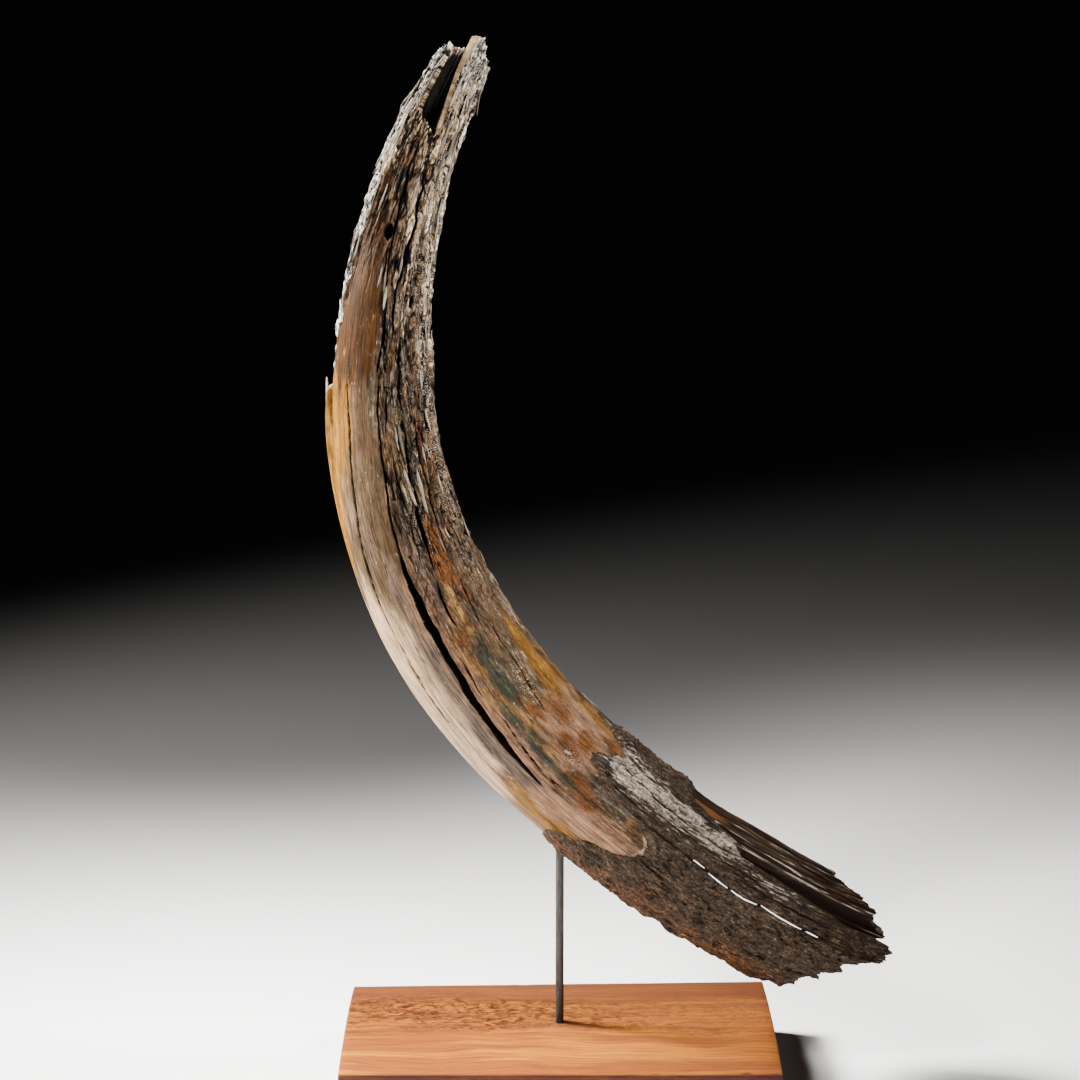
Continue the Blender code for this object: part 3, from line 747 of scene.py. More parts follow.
# node groups
def newGroup(name, outputs, **inputs):
    # the inputs are plain numbers with a first value, apart from the vector
    group = bpy.data.node_groups.new(name, "ShaderNodeTree")
    for label, value in inputs.items():
        kind = "NodeSocketVector" if value is None else "NodeSocketFloat"
        socket = group.interface.new_socket(label, in_out="INPUT", socket_type=kind)
        if value is not None:
            socket.default_value = value
    for label in outputs:
        group.interface.new_socket(label, in_out="OUTPUT", socket_type="NodeSocketFloat")
    return group, addNode(group, "NodeGroupInput").outputs, addNode(group, "NodeGroupOutput").inputs


def scaledVector(group, given):
    scale = addNode(group, "ShaderNodeCombineXYZ", {
        "X": given["Across"], "Y": given["Across"], "Z": given["Along"]}).outputs[0]
    return addNode(group, "ShaderNodeVectorMath", {0: given["Vector"], 1: scale},
                   operation="MULTIPLY").outputs[0]


def buildDrawnGrain():
    # noise drawn out along the tusk: a value round 0.5
    group, given, put = newGroup("drawnGrain", ["Value"], Vector=None, Across=300.0, Along=12.0,
                                 Detail=4.0)
    texture = noiseTexture(scaledVector(group, given), given["Detail"], roughness=0.62)
    fill(put["Value"], texture[0])
    return group


def buildRaggedMask():
    # breaks up a soft mask with noise, into a patch with an uneven edge
    group, given, put = newGroup("raggedMask", ["Mask"], Mask=0.0, Noise=0.5, Amount=0.9,
                                 Softness=0.18)
    added = timesPlus(minus(given["Noise"], 0.5), given["Amount"], given["Mask"])
    middle = 0.45
    fill(put["Mask"], ramp(added, minus(middle, given["Softness"]), plus(middle, given["Softness"])))
    return group


def buildCrumbs():
    # fine crumbly grit, as a height and as pale specks, which the ivory and the bark use partly as painted
    # glints
    group, given, put = newGroup("crumbs", ["Height", "Specks"], Vector=None, Scale=600.0,
                                 Specks=0.66)
    coarse = noiseTexture(given["Vector"], 5.0, given["Scale"], 0.7)[0]
    finer = noiseTexture(given["Vector"], 2.0, times(given["Scale"], 1.7))[0]
    fill(put["Height"], coarse)
    fill(put["Specks"], ramp(finer, given["Specks"], plus(given["Specks"], 0.05)))
    return group


def buildFissures():
    # fine splits drawn out along the tusk, 1 in a split
    group, given, put = newGroup("fissures", ["Mask"], Vector=None, Across=260.0, Along=16.0,
                                 Width=0.16, Share=0.5)
    straight = scaledVector(group, given)
    bent = addNode(group, "ShaderNodeVectorMath", {
        0: noiseTexture(straight, 3.0, 0.8)[1], 1: (1.1, 1.1, 1.1), 2: straight,
    }, operation="MULTIPLY_ADD").outputs[0]
    cells = addNode(group, "ShaderNodeTexVoronoi", {"Vector": bent, "Scale": 1.0},
                    feature="DISTANCE_TO_EDGE").outputs["Distance"]
    low = minus(0.92, given["Share"])
    shown = ramp(noiseTexture(straight, 2.0, 0.55)[0], low, plus(low, 0.16))
    width = times(given["Width"], shown)
    near = ramp(cells, width, times(width, 0.35))
    fill(put["Mask"], times(near, ramp(shown, 0.05, 0.35)))
    return group


drawnGrain = buildDrawnGrain()
raggedMask = buildRaggedMask()
crumbs = buildCrumbs()
fissures = buildFissures()


def useGroup(group, **inputs):
    return addNode(treeOf(inputs.values()), "ShaderNodeGroup", inputs, node_tree=group).outputs


def drawn(vector, across, along, detail=4.0):
    return useGroup(drawnGrain, Vector=vector, Across=across, Along=along, Detail=detail)[0]


def fissured(vector, across, along, width, share):
    return useGroup(fissures, Vector=vector, Across=across, Along=along, Width=width, Share=share)[0]


def patch(mask, pattern, amount=0.9, softness=0.18):
    # one of the mesh's masks, with its edge broken up by a pattern
    return useGroup(raggedMask, Mask=readMask(pattern.id_data, mask), Noise=pattern, Amount=amount,
                    Softness=softness)[0]


# materials
def newMaterial(name, **constants):
    material = bpy.data.materials.new(name)
    material.use_nodes = True
    shader = material.node_tree.nodes["Principled BSDF"]
    for key, value in constants.items():
        shader.inputs[key.replace("_", " ")].default_value = value
    return material, shader


def setMaterial(piece, material):
    piece.data.materials.clear()
    piece.data.materials.append(material)


def readMask(tree, name):
    return addNode(tree, "ShaderNodeAttribute", attribute_name=name).outputs["Fac"]


def straightVector(shader):
    return addNode(shader.id_data, "ShaderNodeAttribute", attribute_name="straight").outputs["Vector"]


def objectVector(shader):
    return addNode(shader.id_data, "ShaderNodeTexCoord").outputs["Object"]


def finish(shader, colour, shine, height, distance, strength):
    bump = addNode(shader.id_data, "ShaderNodeBump", {
        "Height": height, "Distance": distance, "Strength": strength}).outputs[0]
    for name, value in (("Base Color", colour), ("Roughness", shine), ("Normal", bump)):
        fill(shader.inputs[name], value)


# the ivory's material
ivoryLook = {
    # the split ivory, dark to pale along a mottled noise: greyer, warmer and palest
    "greySplit": [(0.36, (0.022, 0.015, 0.009)), (0.44, (0.058, 0.040, 0.026)),
                  (0.53, (0.100, 0.074, 0.050)), (0.62, (0.240, 0.188, 0.134))],
    "warmSplit": [(0.36, (0.022, 0.011, 0.005)), (0.44, (0.056, 0.029, 0.012)),
                  (0.53, (0.096, 0.052, 0.022)), (0.62, (0.220, 0.135, 0.070))],
    "fawn": [(0.38, (0.065, 0.039, 0.021)), (0.45, (0.215, 0.140, 0.078)),
             (0.52, (0.455, 0.325, 0.198)), (0.60, (0.832, 0.676, 0.494))],
    # stains in the order that they lie on each other: pattern, amount, softness, tone
    "stains": {
        "greige": ("broad", 0.8, 0.20, (0.088, 0.056, 0.029)),
        "gold": ("broad", 0.8, 0.20, (0.167, 0.075, 0.010)),
        "orange": ("middle", 0.8, 0.20, (0.0464, 0.019, 0.0046)),
        "brown": ("middle", 0.8, 0.20, (0.095, 0.055, 0.028)),
        "cream": ("broad", 0.8, 0.20, (0.3715, 0.243, 0.1393)),
        "mauve": ("mixed", 1.5, 0.30, (0.116, 0.076, 0.054)),
        "pink": ("mixed", 1.5, 0.30, (0.2139, 0.1127, 0.0633)),
        "rust": ("mixed", 2.6, 0.26, (0.116, 0.042, 0.0112)),
        "tan": ("mixed", 2.5, 0.22, (0.224, 0.114, 0.040)),
        "green": ("mixed", 2.5, 0.26, (0.034, 0.034, 0.022)),
    },
    # silver-grey weathering with a painted highlight
    "silverSheen": (0.600, 0.550, 0.465),
    "silverDark": (0.039, 0.027, 0.0172),
    # pale crumbs, partly painted glints
    "crumbGlint": (0.700, 0.600, 0.480),
    # near-black painted shade in cracks, splits and pits
    "open": (0.0060, 0.0045, 0.0035),
    # near-black painted shade inside the hollow thin end
    "inside": (0.005, 0.003, 0.002),
    # how often across, how often along, detail
    "grains": {
        "broad": (55.0, 16.0), "middle": (150.0, 26.0), "fine": (620.0, 16.0, 3.0),
        "fleck": (430.0, 120.0, 6.0), "cloud": (80.0, 45.0, 5.0), "crisp": (640.0, 190.0, 2.0),
    },
    # how often across, how often along, width, share
    "split": (170.0, 38.0, 0.11, 0.52),
    "hair": (330.0, 62.0, 0.15, 0.48),
    "softHair": (330.0, 11.0, 0.08, 0.46),
}


def ivoryMaterial():
    s = ivoryLook
    material, shader = newMaterial("ivoryWeathered", IOR=1.45, Specular_IOR_Level=0.09)
    vector = straightVector(shader)
    rough, crumbly, opened, inside = (readMask(shader.id_data, name)
                                      for name in ("rough", "crumbly", "open", "inside"))
    grains = {name: drawn(vector, *numbers) for name, numbers in s["grains"].items()}
    middle, fine, fleck, cloud, crisp = (grains[name] for name in
                                         ("middle", "fine", "fleck", "cloud", "crisp"))
    grains["mixed"] = timesPlus(cloud, 0.55, times(middle, 0.45))
    grit = useGroup(crumbs, Vector=vector, Scale=560.0, Specks=0.60)
    split, hair, softHair = (fissured(vector, *s[name]) for name in ("split", "hair", "softHair"))

    # the split ivory: flecked, grey in places and warm in others
    mottled = timesPlus(fleck, 0.62, times(cloud, 0.38))
    warm, grey, fawn = (toneRamp(mottled, s[name]) for name in ("warmSplit", "greySplit", "fawn"))
    colour = mixColour(ramp(grains["broad"], 0.42, 0.58), warm, grey)
    colour = mixColour(patch("fawn", cloud, 1.2, 0.22), colour, fawn)
    for name, (pattern, amount, softness, tone) in s["stains"].items():
        colour = mixColour(patch(name, grains[pattern], amount, softness), colour, tone)
    # silver-grey weathering with a painted highlight, mottled with dark gaps
    weathered = mixColour(ramp(fleck, 0.40, 0.50), s["silverDark"], s["silverSheen"])
    colour = mixColour(patch("silverSheen", fleck, 2.2, 0.16), colour, weathered)

    # streaks along the tusk, then worn flecks, painted shade in the splits, pale crumbs with painted glints,
    # painted shade in the cracks and in the hollow
    streak = ramp(fine, 0.37, 0.63, 0.56, 1.38)
    nicked = ramp(crisp, 0.36, 0.64, 0.50, 1.50)
    streak = timesPlus(minus(nicked, streak), timesPlus(rough, 0.80, 0.15), streak)
    for shade in (streak, ramp(middle, 0.28, 0.72, 0.76, 1.22), ramp(cloud, 0.30, 0.70, 0.74, 1.20)):
        colour = mixColour(1.0, colour, shade, "MULTIPLY")
    colour = mixColour(times(ramp(fleck, 0.42, 0.38, 0.0, 0.32), rough), colour, s["silverDark"])
    splits = greater(times(split, rough), times(times(hair, rough), 0.70))
    splits = greater(splits, times(softHair, 0.48))
    # pale crumbs with painted glints, most where the surface is crumbly
    crumbGlints = times(grit["Specks"], ramp(timesPlus(fleck, 0.8, crumbly), 0.55, 1.00))
    for mask, tone in ((splits, "open"), (times(crumbGlints, 0.9), "crumbGlint"),
                       (ramp(opened, 0.35, 0.75), "open"), (inside, "inside")):
        colour = mixColour(mask, colour, s[tone])

    shine = timesPlus(minus(fleck, 0.5), 0.5, timesPlus(rough, 0.20, 0.48))
    gritHeight = times(timesPlus(crisp, 1.0, grit["Height"]), timesPlus(rough, 0.95, 0.05))
    height = timesPlus(crumbGlints, 0.5, timesPlus(fine, 0.22, gritHeight))
    finish(shader, colour, shine, minus(height, times(splits, 0.9)), 0.0018, 0.9)
    return material


# the bark's material
barkLook = {
    "crust": [(0.40, (0.010, 0.0052, 0.0026)), (0.46, (0.0262, 0.0142, 0.0072)),
              (0.53, (0.044, 0.0246, 0.0126)), (0.62, (0.130, 0.081, 0.045))],
    "greyCrust": [(0.40, (0.012, 0.0074, 0.0047)), (0.46, (0.031, 0.0194, 0.0113)),
                  (0.53, (0.052, 0.0345, 0.0212)), (0.62, (0.160, 0.112, 0.071))],
    "rusty": [(0.40, (0.0099, 0.0044, 0.0022)), (0.46, (0.0484, 0.0187, 0.0066)),
              (0.53, (0.0902, 0.0352, 0.011)), (0.62, (0.209, 0.1078, 0.0495))],
    # silver-grey crust with a painted sheen along its upper ridge
    "silverSheen": [(0.40, (0.078, 0.057, 0.041)), (0.46, (0.205, 0.164, 0.124)),
               (0.53, (0.370, 0.315, 0.252)), (0.61, (0.640, 0.580, 0.500))],
    # pale flecks of the crust, partly painted glints
    "fleck": (0.300, 0.230, 0.165),
    # near-black painted shade in splits, crevices and cracks
    "open": (0.006, 0.004, 0.003),
}


def barkMaterial():
    s = barkLook
    material, shader = newMaterial("barkCrusted", IOR=1.45, Specular_IOR_Level=0.20)
    vector = straightVector(shader)
    blotch = drawn(vector, 70.0, 45.0)
    fleck = drawn(vector, 460.0, 260.0, 6.0)
    fibre = drawn(vector, 420.0, 60.0, 5.0)
    grit = useGroup(crumbs, Vector=vector, Scale=620.0, Specks=0.64)
    split = fissured(vector, 190.0, 60.0, 0.16, 0.40)
    mottled = timesPlus(fleck, 0.60, times(fibre, 0.40))
    tones = {name: toneRamp(mottled, s[name]) for name in ("crust", "greyCrust", "rusty", "silverSheen")}
    colour = mixColour(ramp(blotch, 0.42, 0.60), tones["crust"], tones["greyCrust"])
    colour = mixColour(patch("rusty", blotch, 2.4, 0.34), colour, tones["rusty"])
    colour = mixColour(patch("silverSheen", fibre, 2.0, 0.20), colour, tones["silverSheen"])
    # pale flecks, partly painted glints
    colour = mixColour(times(grit["Specks"], 0.55), colour, s["fleck"])
    # painted shade in the splits, crevices and cracks
    splits = greater(times(split, 0.85), ramp(readMask(shader.id_data, "open"), 0.25, 0.95))
    colour = mixColour(splits, colour, s["open"])
    shine = timesPlus(minus(fleck, 0.5), 0.6, 0.56)
    height = timesPlus(fibre, 0.6, timesPlus(fleck, 1.1, grit["Height"]))
    finish(shader, colour, shine, minus(height, times(split, 0.7)), 0.0024, 1.0)
    return material


# the bare layers and broken face of the wide end
coreLook = {
    "dark": (0.018, 0.0092, 0.0046),
    "brown": (0.060, 0.033, 0.017),
    # pale streaks on the layers, a painted sheen
    "streak": (0.420, 0.385, 0.340),
    # near-black painted shade in the groove and the fine splits
    "groove": (0.010, 0.0048, 0.0028),
    "face": (0.085, 0.054, 0.033),
    "rust": (0.130, 0.052, 0.015),
}


def coreMaterial():
    s = coreLook
    material, shader = newMaterial("ivoryLayers", IOR=1.45, Specular_IOR_Level=0.12)
    tree, vector = shader.id_data, straightVector(shader)
    line = drawn(vector, 430.0, 6.0)
    gap = drawn(vector, 260.0, 60.0)
    fine = drawn(vector, 900.0, 30.0)
    hair = fissured(vector, 300.0, 7.0, 0.16, 0.62)
    colour = mixColour(ramp(line, 0.44, 0.56), s["dark"], s["brown"])
    # pale layer streaks: painted sheen, strongest on the lit upper side
    streak = times(patch("streak", line, 3.0, 0.12), ramp(gap, 0.40, 0.56, 0.10, 1.0))
    colour = mixColour(streak, colour, s["streak"])
    # painted shade in the fine splits and in the groove
    colour = mixColour(times(hair, 0.85), colour, s["groove"])
    colour = mixColour(ramp(readMask(tree, "groove"), 0.2, 0.7), colour, s["groove"])
    face = mixColour(ramp(gap, 0.35, 0.65), s["dark"], s["face"])
    colour = mixColour(readMask(tree, "face"), colour, face)
    colour = mixColour(patch("rust", gap), colour, s["rust"])
    finish(shader, colour, ramp(gap, 0.3, 0.7, 0.42, 0.68), timesPlus(fine, 0.6, line), 0.0011, 0.8)
    return material


def splinterMaterial():
    material, shader = newMaterial("ivorySplinters", IOR=1.5)
    fleck = useGroup(crumbs, Vector=objectVector(shader), Scale=700.0, Specks=0.62)["Height"]
    colour = mixColour(ramp(readMask(shader.id_data, "tone"), 0.2, 0.9), (0.055, 0.036, 0.022),
                       (0.33, 0.27, 0.20))
    colour = mixColour(ramp(fleck, 0.40, 0.60, 0.55, 0.0), colour, (0.030, 0.020, 0.013))
    finish(shader, colour, ramp(fleck, 0.3, 0.7, 0.55, 0.8), fleck, 0.0008, 0.8)
    return material


print("tusk materials ready")

# the bared ivory, from the hollow thin end down to just under the bark
ivorySettings = {
    "columns": 385,
    "fineStep": 0.0032,
    "plainRows": 172,
    "cavityRows": 18,
    "wall": 0.0085,
    "hollowDepth": 0.172,
    "underBark": 0.034,
    "rimJag": 0.0032,
    # rows run from first to last, with finer ones as far as fineEnd
    "first": 0.030,
    "fineEnd": 0.250,
    "last": 0.984,
    "fit": 0.200,            # length over which the rows fit themselves to an uneven end
    "gapSide": 18.5,         # degrees round, where the gap's broken side lies
}


def buildIvory():
    s = ivorySettings
    angle = columnAngles(s["columns"])
    jag = jagged(angle, [(9.0, 1.0, 1.0), (22.0, 3.0, 0.8)])
    rim = closedLine(tuskForm["rim"], angle) + s["rimJag"] * jag
    low = closedLine(tuskForm["crustStart"], angle) + s["underBark"]
    rows = np.r_[np.arange(s["first"], s["fineEnd"], s["fineStep"]),
                 np.linspace(s["fineEnd"], s["last"], s["plainRows"])][:, None]
    rings, alongs, hollowShade = [], [], []
    beside = smoothStep(9, 13, angle) * smoothStep(38, 33, angle)
    wall = s["wall"] * (1.0 + 0.25 * jag) / halfWidths(rim).mean(axis=0)
    for t in np.linspace(1.0, 0.0, s["cavityRows"]):
        along = rim + (s["hollowDepth"] - rim) * t + 0.0015 * (1.0 - t)
        narrowing = wall + (0.86 - wall) * t ** 1.6
        # the broken face beside the gap is cut slantwise, so it shows from the front
        slant = np.interp(rim, [0.01, 0.05, 0.08, 0.12], [-25, -18, -8, 3])
        slant = slant * fallOff(angle - s["gapSide"], 5.0) * (1.0 - t) ** 2
        rough = 0.0007 * grain(along, angle + slant, 8.0, 0.012, 50.0) * (1.0 - t)
        rings.append(place(along, angle + slant, rough, narrowing))
        # painted shade down the hollow, less on the clean broken face beside the gap
        hollowShade.append((1.0 if t > 0.0 else 0.6) * (1.0 - beside * smoothStep(0.30, 0.05, t)))
        alongs.append(along)
    body = rows + (rim - s["first"]) * (1.0 - np.clip((rows - s["first"]) / s["fit"], 0, 1))
    body += (low - s["last"]) * np.clip((rows - (s["last"] - s["fit"])) / s["fit"], 0, 1)
    flatAlong, flatAngle = flatGrid(body, angle)
    flatAngle = flatAngle - 8.0 * (1.0 - smoothStep(0.03, 0.125, flatAlong)) * fallOff(flatAngle - 15.0, 10.0)
    height, openness, rough = tuskRelief(flatAlong, flatAngle)
    surface = place(flatAlong, flatAngle, height).reshape(*body.shape, 3)
    end = body[-1]
    lastRing = place(end + 0.004, angle, 0.0, 0.15)
    points = np.concatenate([[pole(s["hollowDepth"] + 0.004, len(angle))], rings, surface, [lastRing],
                             [pole(end.mean() + 0.004, len(angle))]])
    allAlong = np.concatenate([[alongs[0]], alongs, body, [end], [end]])
    flat = flatGrid(allAlong, angle)
    count = len(rings) + 1
    padding = [(count, 2), (0, 0)]
    masks = {tone: values.reshape(allAlong.shape) for tone, values in stainMasks(*flat).items()}
    masks["straight"] = straightSpace(*flat).reshape(points.shape)
    masks["open"] = np.pad(openness.reshape(body.shape), padding)
    masks["rough"] = np.pad(rough.reshape(body.shape), padding, constant_values=1.0)
    # the hollow's painted shade
    masks["inside"] = np.concatenate([[hollowShade[0]], hollowShade, np.zeros(body.shape), np.zeros((2, len(angle)))])
    # the broken face beside the gap is clean and pale
    face = slice(count - 3, count + 1)
    masks["cream"][face] = np.maximum(masks["cream"][face], 1.4 * beside)
    for tone in ("silverSheen", "crumbly", "brown", "orange", "rough", "open"):
        masks[tone][face] *= 1.0 - beside
    return gridPiece("tuskIvory", points, masks)


tuskIvory = buildIvory()
setMaterial(tuskIvory, ivoryMaterial())
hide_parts("tusk")
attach(tuskIvory, "root")

# the ivory of the wide end, bare in layers where the bark has gone
coreSettings = {
    "columns": 341,
    "rows": 150,
    "start": 0.014,
    "faceRings": [(0.97, 0.00), (0.90, 0.02), (0.86, 0.05), (0.82, 0.30), (0.78, 0.40), (0.70, 0.50),
                  (0.62, 0.60), (0.52, 0.70), (0.42, 0.80), (0.30, 0.92), (0.18, 1.00), (0.08, 1.00)],
    "faceDepth": 0.022,
    "grooveDepth": 0.0085,
    "grooveAngle": 43.0,
    # fine and broad layers: degrees and metres of a wave, seed, height, steepness
    "layers": [(1.7, 0.16, 2.0, 0.0019, 2.6), (5.5, 0.30, 7.0, 0.0030, 1.8)],
    # how jagged the wide end is: waves round, seed, height
    "endJag": [(7.0, 11.0, 0.0060), (17.0, 13.0, 0.0070), (40.0, 17.0, 0.0040)],
    # a rusty chip, as the stains
    "freshChip": [(1055, 69, 45, 4, 1.0)],
}


def wideEndLine(angle):
    return closedLine(tuskForm["wideEnd"], angle) + jagged(angle, coreSettings["endJag"])


def barkedShare(along, angle):
    # 1 under the bark, 0 where the ivory is bare
    return smoothStep(-0.003, 0.003, closedLine(tuskForm["crustStop"], angle) - along)


def buildCore():
    s = coreSettings
    angle = columnAngles(s["columns"])
    start = closedLine(tuskForm["crustStart"], angle) + s["start"]
    end = wideEndLine(angle)
    end = end - 0.004 * barkedShare(end, angle)
    body = rowsBetween(start, end, s["rows"])
    flatAlong, flatAngle = flatGrid(body, angle)
    points = straightSpace(flatAlong, flatAngle)
    bare = 1.0 - barkedShare(flatAlong, flatAngle)
    height = 0.0030 * noiseSum(flatAlong, flatAngle, reliefSettings["furrows"]) * 0.6
    groove = smoothStep(1.100, 1.150, flatAlong) * fallOff(flatAngle - s["grooveAngle"], 8.0)
    height -= s["grooveDepth"] * groove * bare
    fan = flatAngle + 6.0 * (flatAlong - 1.2)
    layers, broad = (noiseAt(fan / wide, flatAlong / long, seed) for wide, long, seed, _, _ in s["layers"])
    steps = sum(lift * np.tanh(steep * wave)
                for (_, _, _, lift, steep), wave in zip(s["layers"], (layers, broad)))
    calm = 1.0 - 0.85 * fallOff(flatAngle - 44.0, 5.5)
    height += bare * calm * steps
    height += bare * 0.0004 * ripple(points, 0.0018, 0.012, 61.0)
    height -= 0.003 * (1.0 - smoothStep(0.0, 0.010, flatAlong - np.tile(start, s["rows"])))
    surface = place(flatAlong, flatAngle, height).reshape(*body.shape, 3)
    faces, faceAlong = [], []
    for share, fall in s["faceRings"]:
        along = end - fall * (s["faceDepth"] + end - end.min())
        along = along + 0.0045 * share * grain(along, angle, 3.0, 0.02, 70.0 + 9.0 * share)
        along = along + 0.0024 * share * grain(along, angle, 14.0, 0.02, 7.0 + 31.0 * share)
        faces.append(place(along, angle, 0.0, 1.0 - share))
        faceAlong.append(along)
    points = np.concatenate([[pole(start.mean(), len(angle))], surface, faces,
                             [pole(faceAlong[-1].mean(), len(angle))]])
    allAlong = np.concatenate([[start], body, faceAlong, [faceAlong[-1]]])
    flat = flatGrid(allAlong, angle)
    padding = [(1, len(faces) + 1), (0, 0)]
    # the streaks are a painted sheen, strongest round 55 degrees on the upper side, which faces the light
    lit = fallOff(flatAngle - 55.0, 8.0) * (1.0 - 0.6 * smoothStep(1.16, 1.28, flatAlong))
    streak = (0.10 + 0.75 * np.clip(0.5 + 1.4 * layers + 0.5 * broad, 0, 1) * lit) * calm
    return gridPiece("tuskCore", points, {
        "straight": straightSpace(*flat).reshape(points.shape),
        "streak": np.pad(streak.reshape(body.shape), padding, constant_values=0.10),
        "groove": np.pad(groove.reshape(body.shape), padding),
        "face": np.pad(np.zeros(body.shape), padding, constant_values=1.0),
        "rust": ovalMask(*flat, s["freshChip"]).reshape(allAlong.shape),
    })


tuskCore = buildCore()
setMaterial(tuskCore, coreMaterial())
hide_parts("tusk")
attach(tuskCore, "root")

# the bark-like outer crust round the wide end
barkSettings = {
    "columns": 421,
    "rows": 176,
    "thick": 0.0060,
    "lump": 0.0020,
    # waves round, length in metres, seed, share
    "lumps": [(3.5, 0.040, 20.0, 1.0), (6.0, 0.020, 31.0, 0.7)],
    "under": -0.0030,
    "edgeRows": 5,
    "innerRows": 14,
    # cells and waves: wide, long, seed
    "plates": (0.0095, 0.0190, 5.0),
    "smallPlates": (0.0052, 0.0078, 9.0),
    "slats": (0.0055, 0.048, 15.0),
    "waves": {
        "warpX": (0.012, 0.014, 81.0), "warpY": (0.012, 0.014, 83.0), "warpAlong": (0.012, 0.014, 85.0),
        "crevice": (0.02, 0.03, 87.0), "smallCrevice": (0.012, 0.016, 89.0),
        "slatCrevice": (0.012, 0.030, 97.0), "lumps": (0.0065, 0.0100, 88.0),
        "crumbs": (0.0030, 0.0046, 91.0), "fibres": (0.0018, 0.0200, 93.0),
        "edge": (0.006, 0.008, 99.0),
    },
    # swellings of the lower side: height, place and reach along, then where they begin and end round
    "knots": [
        (0.0045, 1.222, 0.030, (-40, -75), (-160, -120)),
        (0.0050, 1.254, 0.012, (-38, -60), (-110, -85)),
        (0.0026, 1.126, 0.007, (-52, -70), (-110, -90)),
        (0.0026, 1.170, 0.007, (-52, -70), (-110, -90)),
    ],
    "edgeJag": [(7.0, 21.0, 0.0060), (15.0, 23.0, 0.0058), (34.0, 27.0, 0.0040)],
    "stains": {
        # silver-grey crust with a painted sheen along the upper ridge
        "silverSheen": [
            (965, 46, 44, 14, 1.0), (1030, 46, 55, 12, 1.0), (1090, 43, 50, 10, 0.85),
            (935, 60, 30, 12, 0.6), (1180, 31, 50, 6, 0.35), (1000, 62, 60, 10, 0.3),
        ],
        "rusty": [
            (1040, -56, 90, 20, 0.75), (1180, -58, 80, 24, 0.75), (960, -62, 40, 22, 0.7),
            (1070, -30, 40, 12, 0.5), (1160, 215, 160, 60, 0.6),
        ],
    },
    # written as the ivory's cracks are
    "cracks": [
        ([(930, 50, 14), (950, 49, 30), (984, 44, 24), (1010, 43, 40), (1040, 43, 30), (1080, 41, 26),
          (1132, 41, 10)], 60),
        ([(904, 71, 16), (916, 71, 36), (936, 70, 10)], 60),
        ([(948, 30, 8), (975, 28, 26), (1010, 27, 16), (1046, 25, 6)], 40),
        ([(1004, 21, 10), (1030, 20, 22), (1060, 19.5, 26), (1078, 19, 30)], 70),
        ([(1088, 18, 24), (1104, 16, 22)], 80),
        ([(1126, 13.2, 24), (1137, 12.8, 24)], 80),
        ([(1168, 12.4, 22), (1178, 13.2, 22)], 80),
        ([(1230, 10.1, 24), (1262, 9.6, 50), (1285, 9, 60), (1330, 11, 70)], 100),
        ([(1024, -6, 10), (1050, -8, 22), (1082, -12, 8)], 40),
        ([(1090, -2, 8), (1120, -6, 26), (1140, -5, 14), (1160, -9, 6)], 50),
        ([(1000, 34, 8), (1060, 33, 20), (1120, 31, 26), (1190, 30, 8)], 40),
        ([(1130, 24, 8), (1180, 23, 24), (1240, 22, 30), (1300, 22, 10)], 50),
        ([(1180, -30, 8), (1215, -33, 30), (1262, -30, 50), (1300, -32, 60)], 80),
        ([(1060, -55, 8), (1100, -52, 24), (1150, -56, 8)], 40),
        ([(1000, 200, 10), (1080, 205, 40), (1180, 198, 50), (1260, 204, 10)], 70),
        ([(1020, -220, 10), (1060, -212, 36), (1120, -210, 10)], 60),
    ],
}


def barkRelief(points, along, angle):
    s = barkSettings
    wave = ripples(points, s["waves"])
    height = s["thick"] + s["lump"] * noiseSum(along, angle, s["lumps"])
    for lift, centre, reach, begin, stop in s["knots"]:
        height += lift * fallOff(along - centre, reach) * smoothStep(*begin, angle) * smoothStep(*stop, angle)
    # drawn out and splintery on the upper side, plated and lumpy below
    splintery = smoothStep(14, 30, angle) * smoothStep(90, 60, angle)
    warp = 0.0035 * np.stack([wave["warpX"], wave["warpY"], wave["warpAlong"]], axis=1)
    gap, level = plates(points + warp, *s["plates"])
    crevice = fallOff(gap, 0.0007) * smoothStep(0.0, 0.45, wave["crevice"])
    smallGap, smallLevel = plates(points + warp, *s["smallPlates"])
    smallCrevice = fallOff(smallGap, 0.0006) * smoothStep(-0.2, 0.3, wave["smallCrevice"])
    slatGap, slatLevel = plates(points + 0.5 * warp, *s["slats"])
    slatCrevice = fallOff(slatGap, 0.0007) * smoothStep(-0.3, 0.3, wave["slatCrevice"])
    plated = 0.0008 * level - 0.0016 * crevice + 0.0006 * smallLevel - 0.0008 * smallCrevice
    drawnOut = 0.0008 * slatLevel - 0.0016 * slatCrevice
    height += plated * (1.0 - 0.75 * splintery) + drawnOut * splintery
    height += 0.0016 * wave["lumps"] * (1.0 - 0.5 * splintery)
    height += 0.0011 * wave["crumbs"]
    height += 0.0005 * wave["fibres"] * splintery
    deepest, inside = crackDepth(along, angle, s["cracks"])
    # painted shade in the cracks and crevices
    openness = np.maximum(inside, (0.5 * crevice + 0.2 * smallCrevice) * (1.0 - splintery)
                          + 0.5 * slatCrevice * splintery)
    return height - deepest, np.clip(openness, 0, 1), wave["edge"]


def barkLines(angle):
    ragged = jagged(angle, barkSettings["edgeJag"])
    start = closedLine(tuskForm["crustStart"], angle) + ragged
    stop = closedLine(tuskForm["crustStop"], angle) - 0.8 * ragged
    return start, np.minimum(stop, wideEndLine(angle))


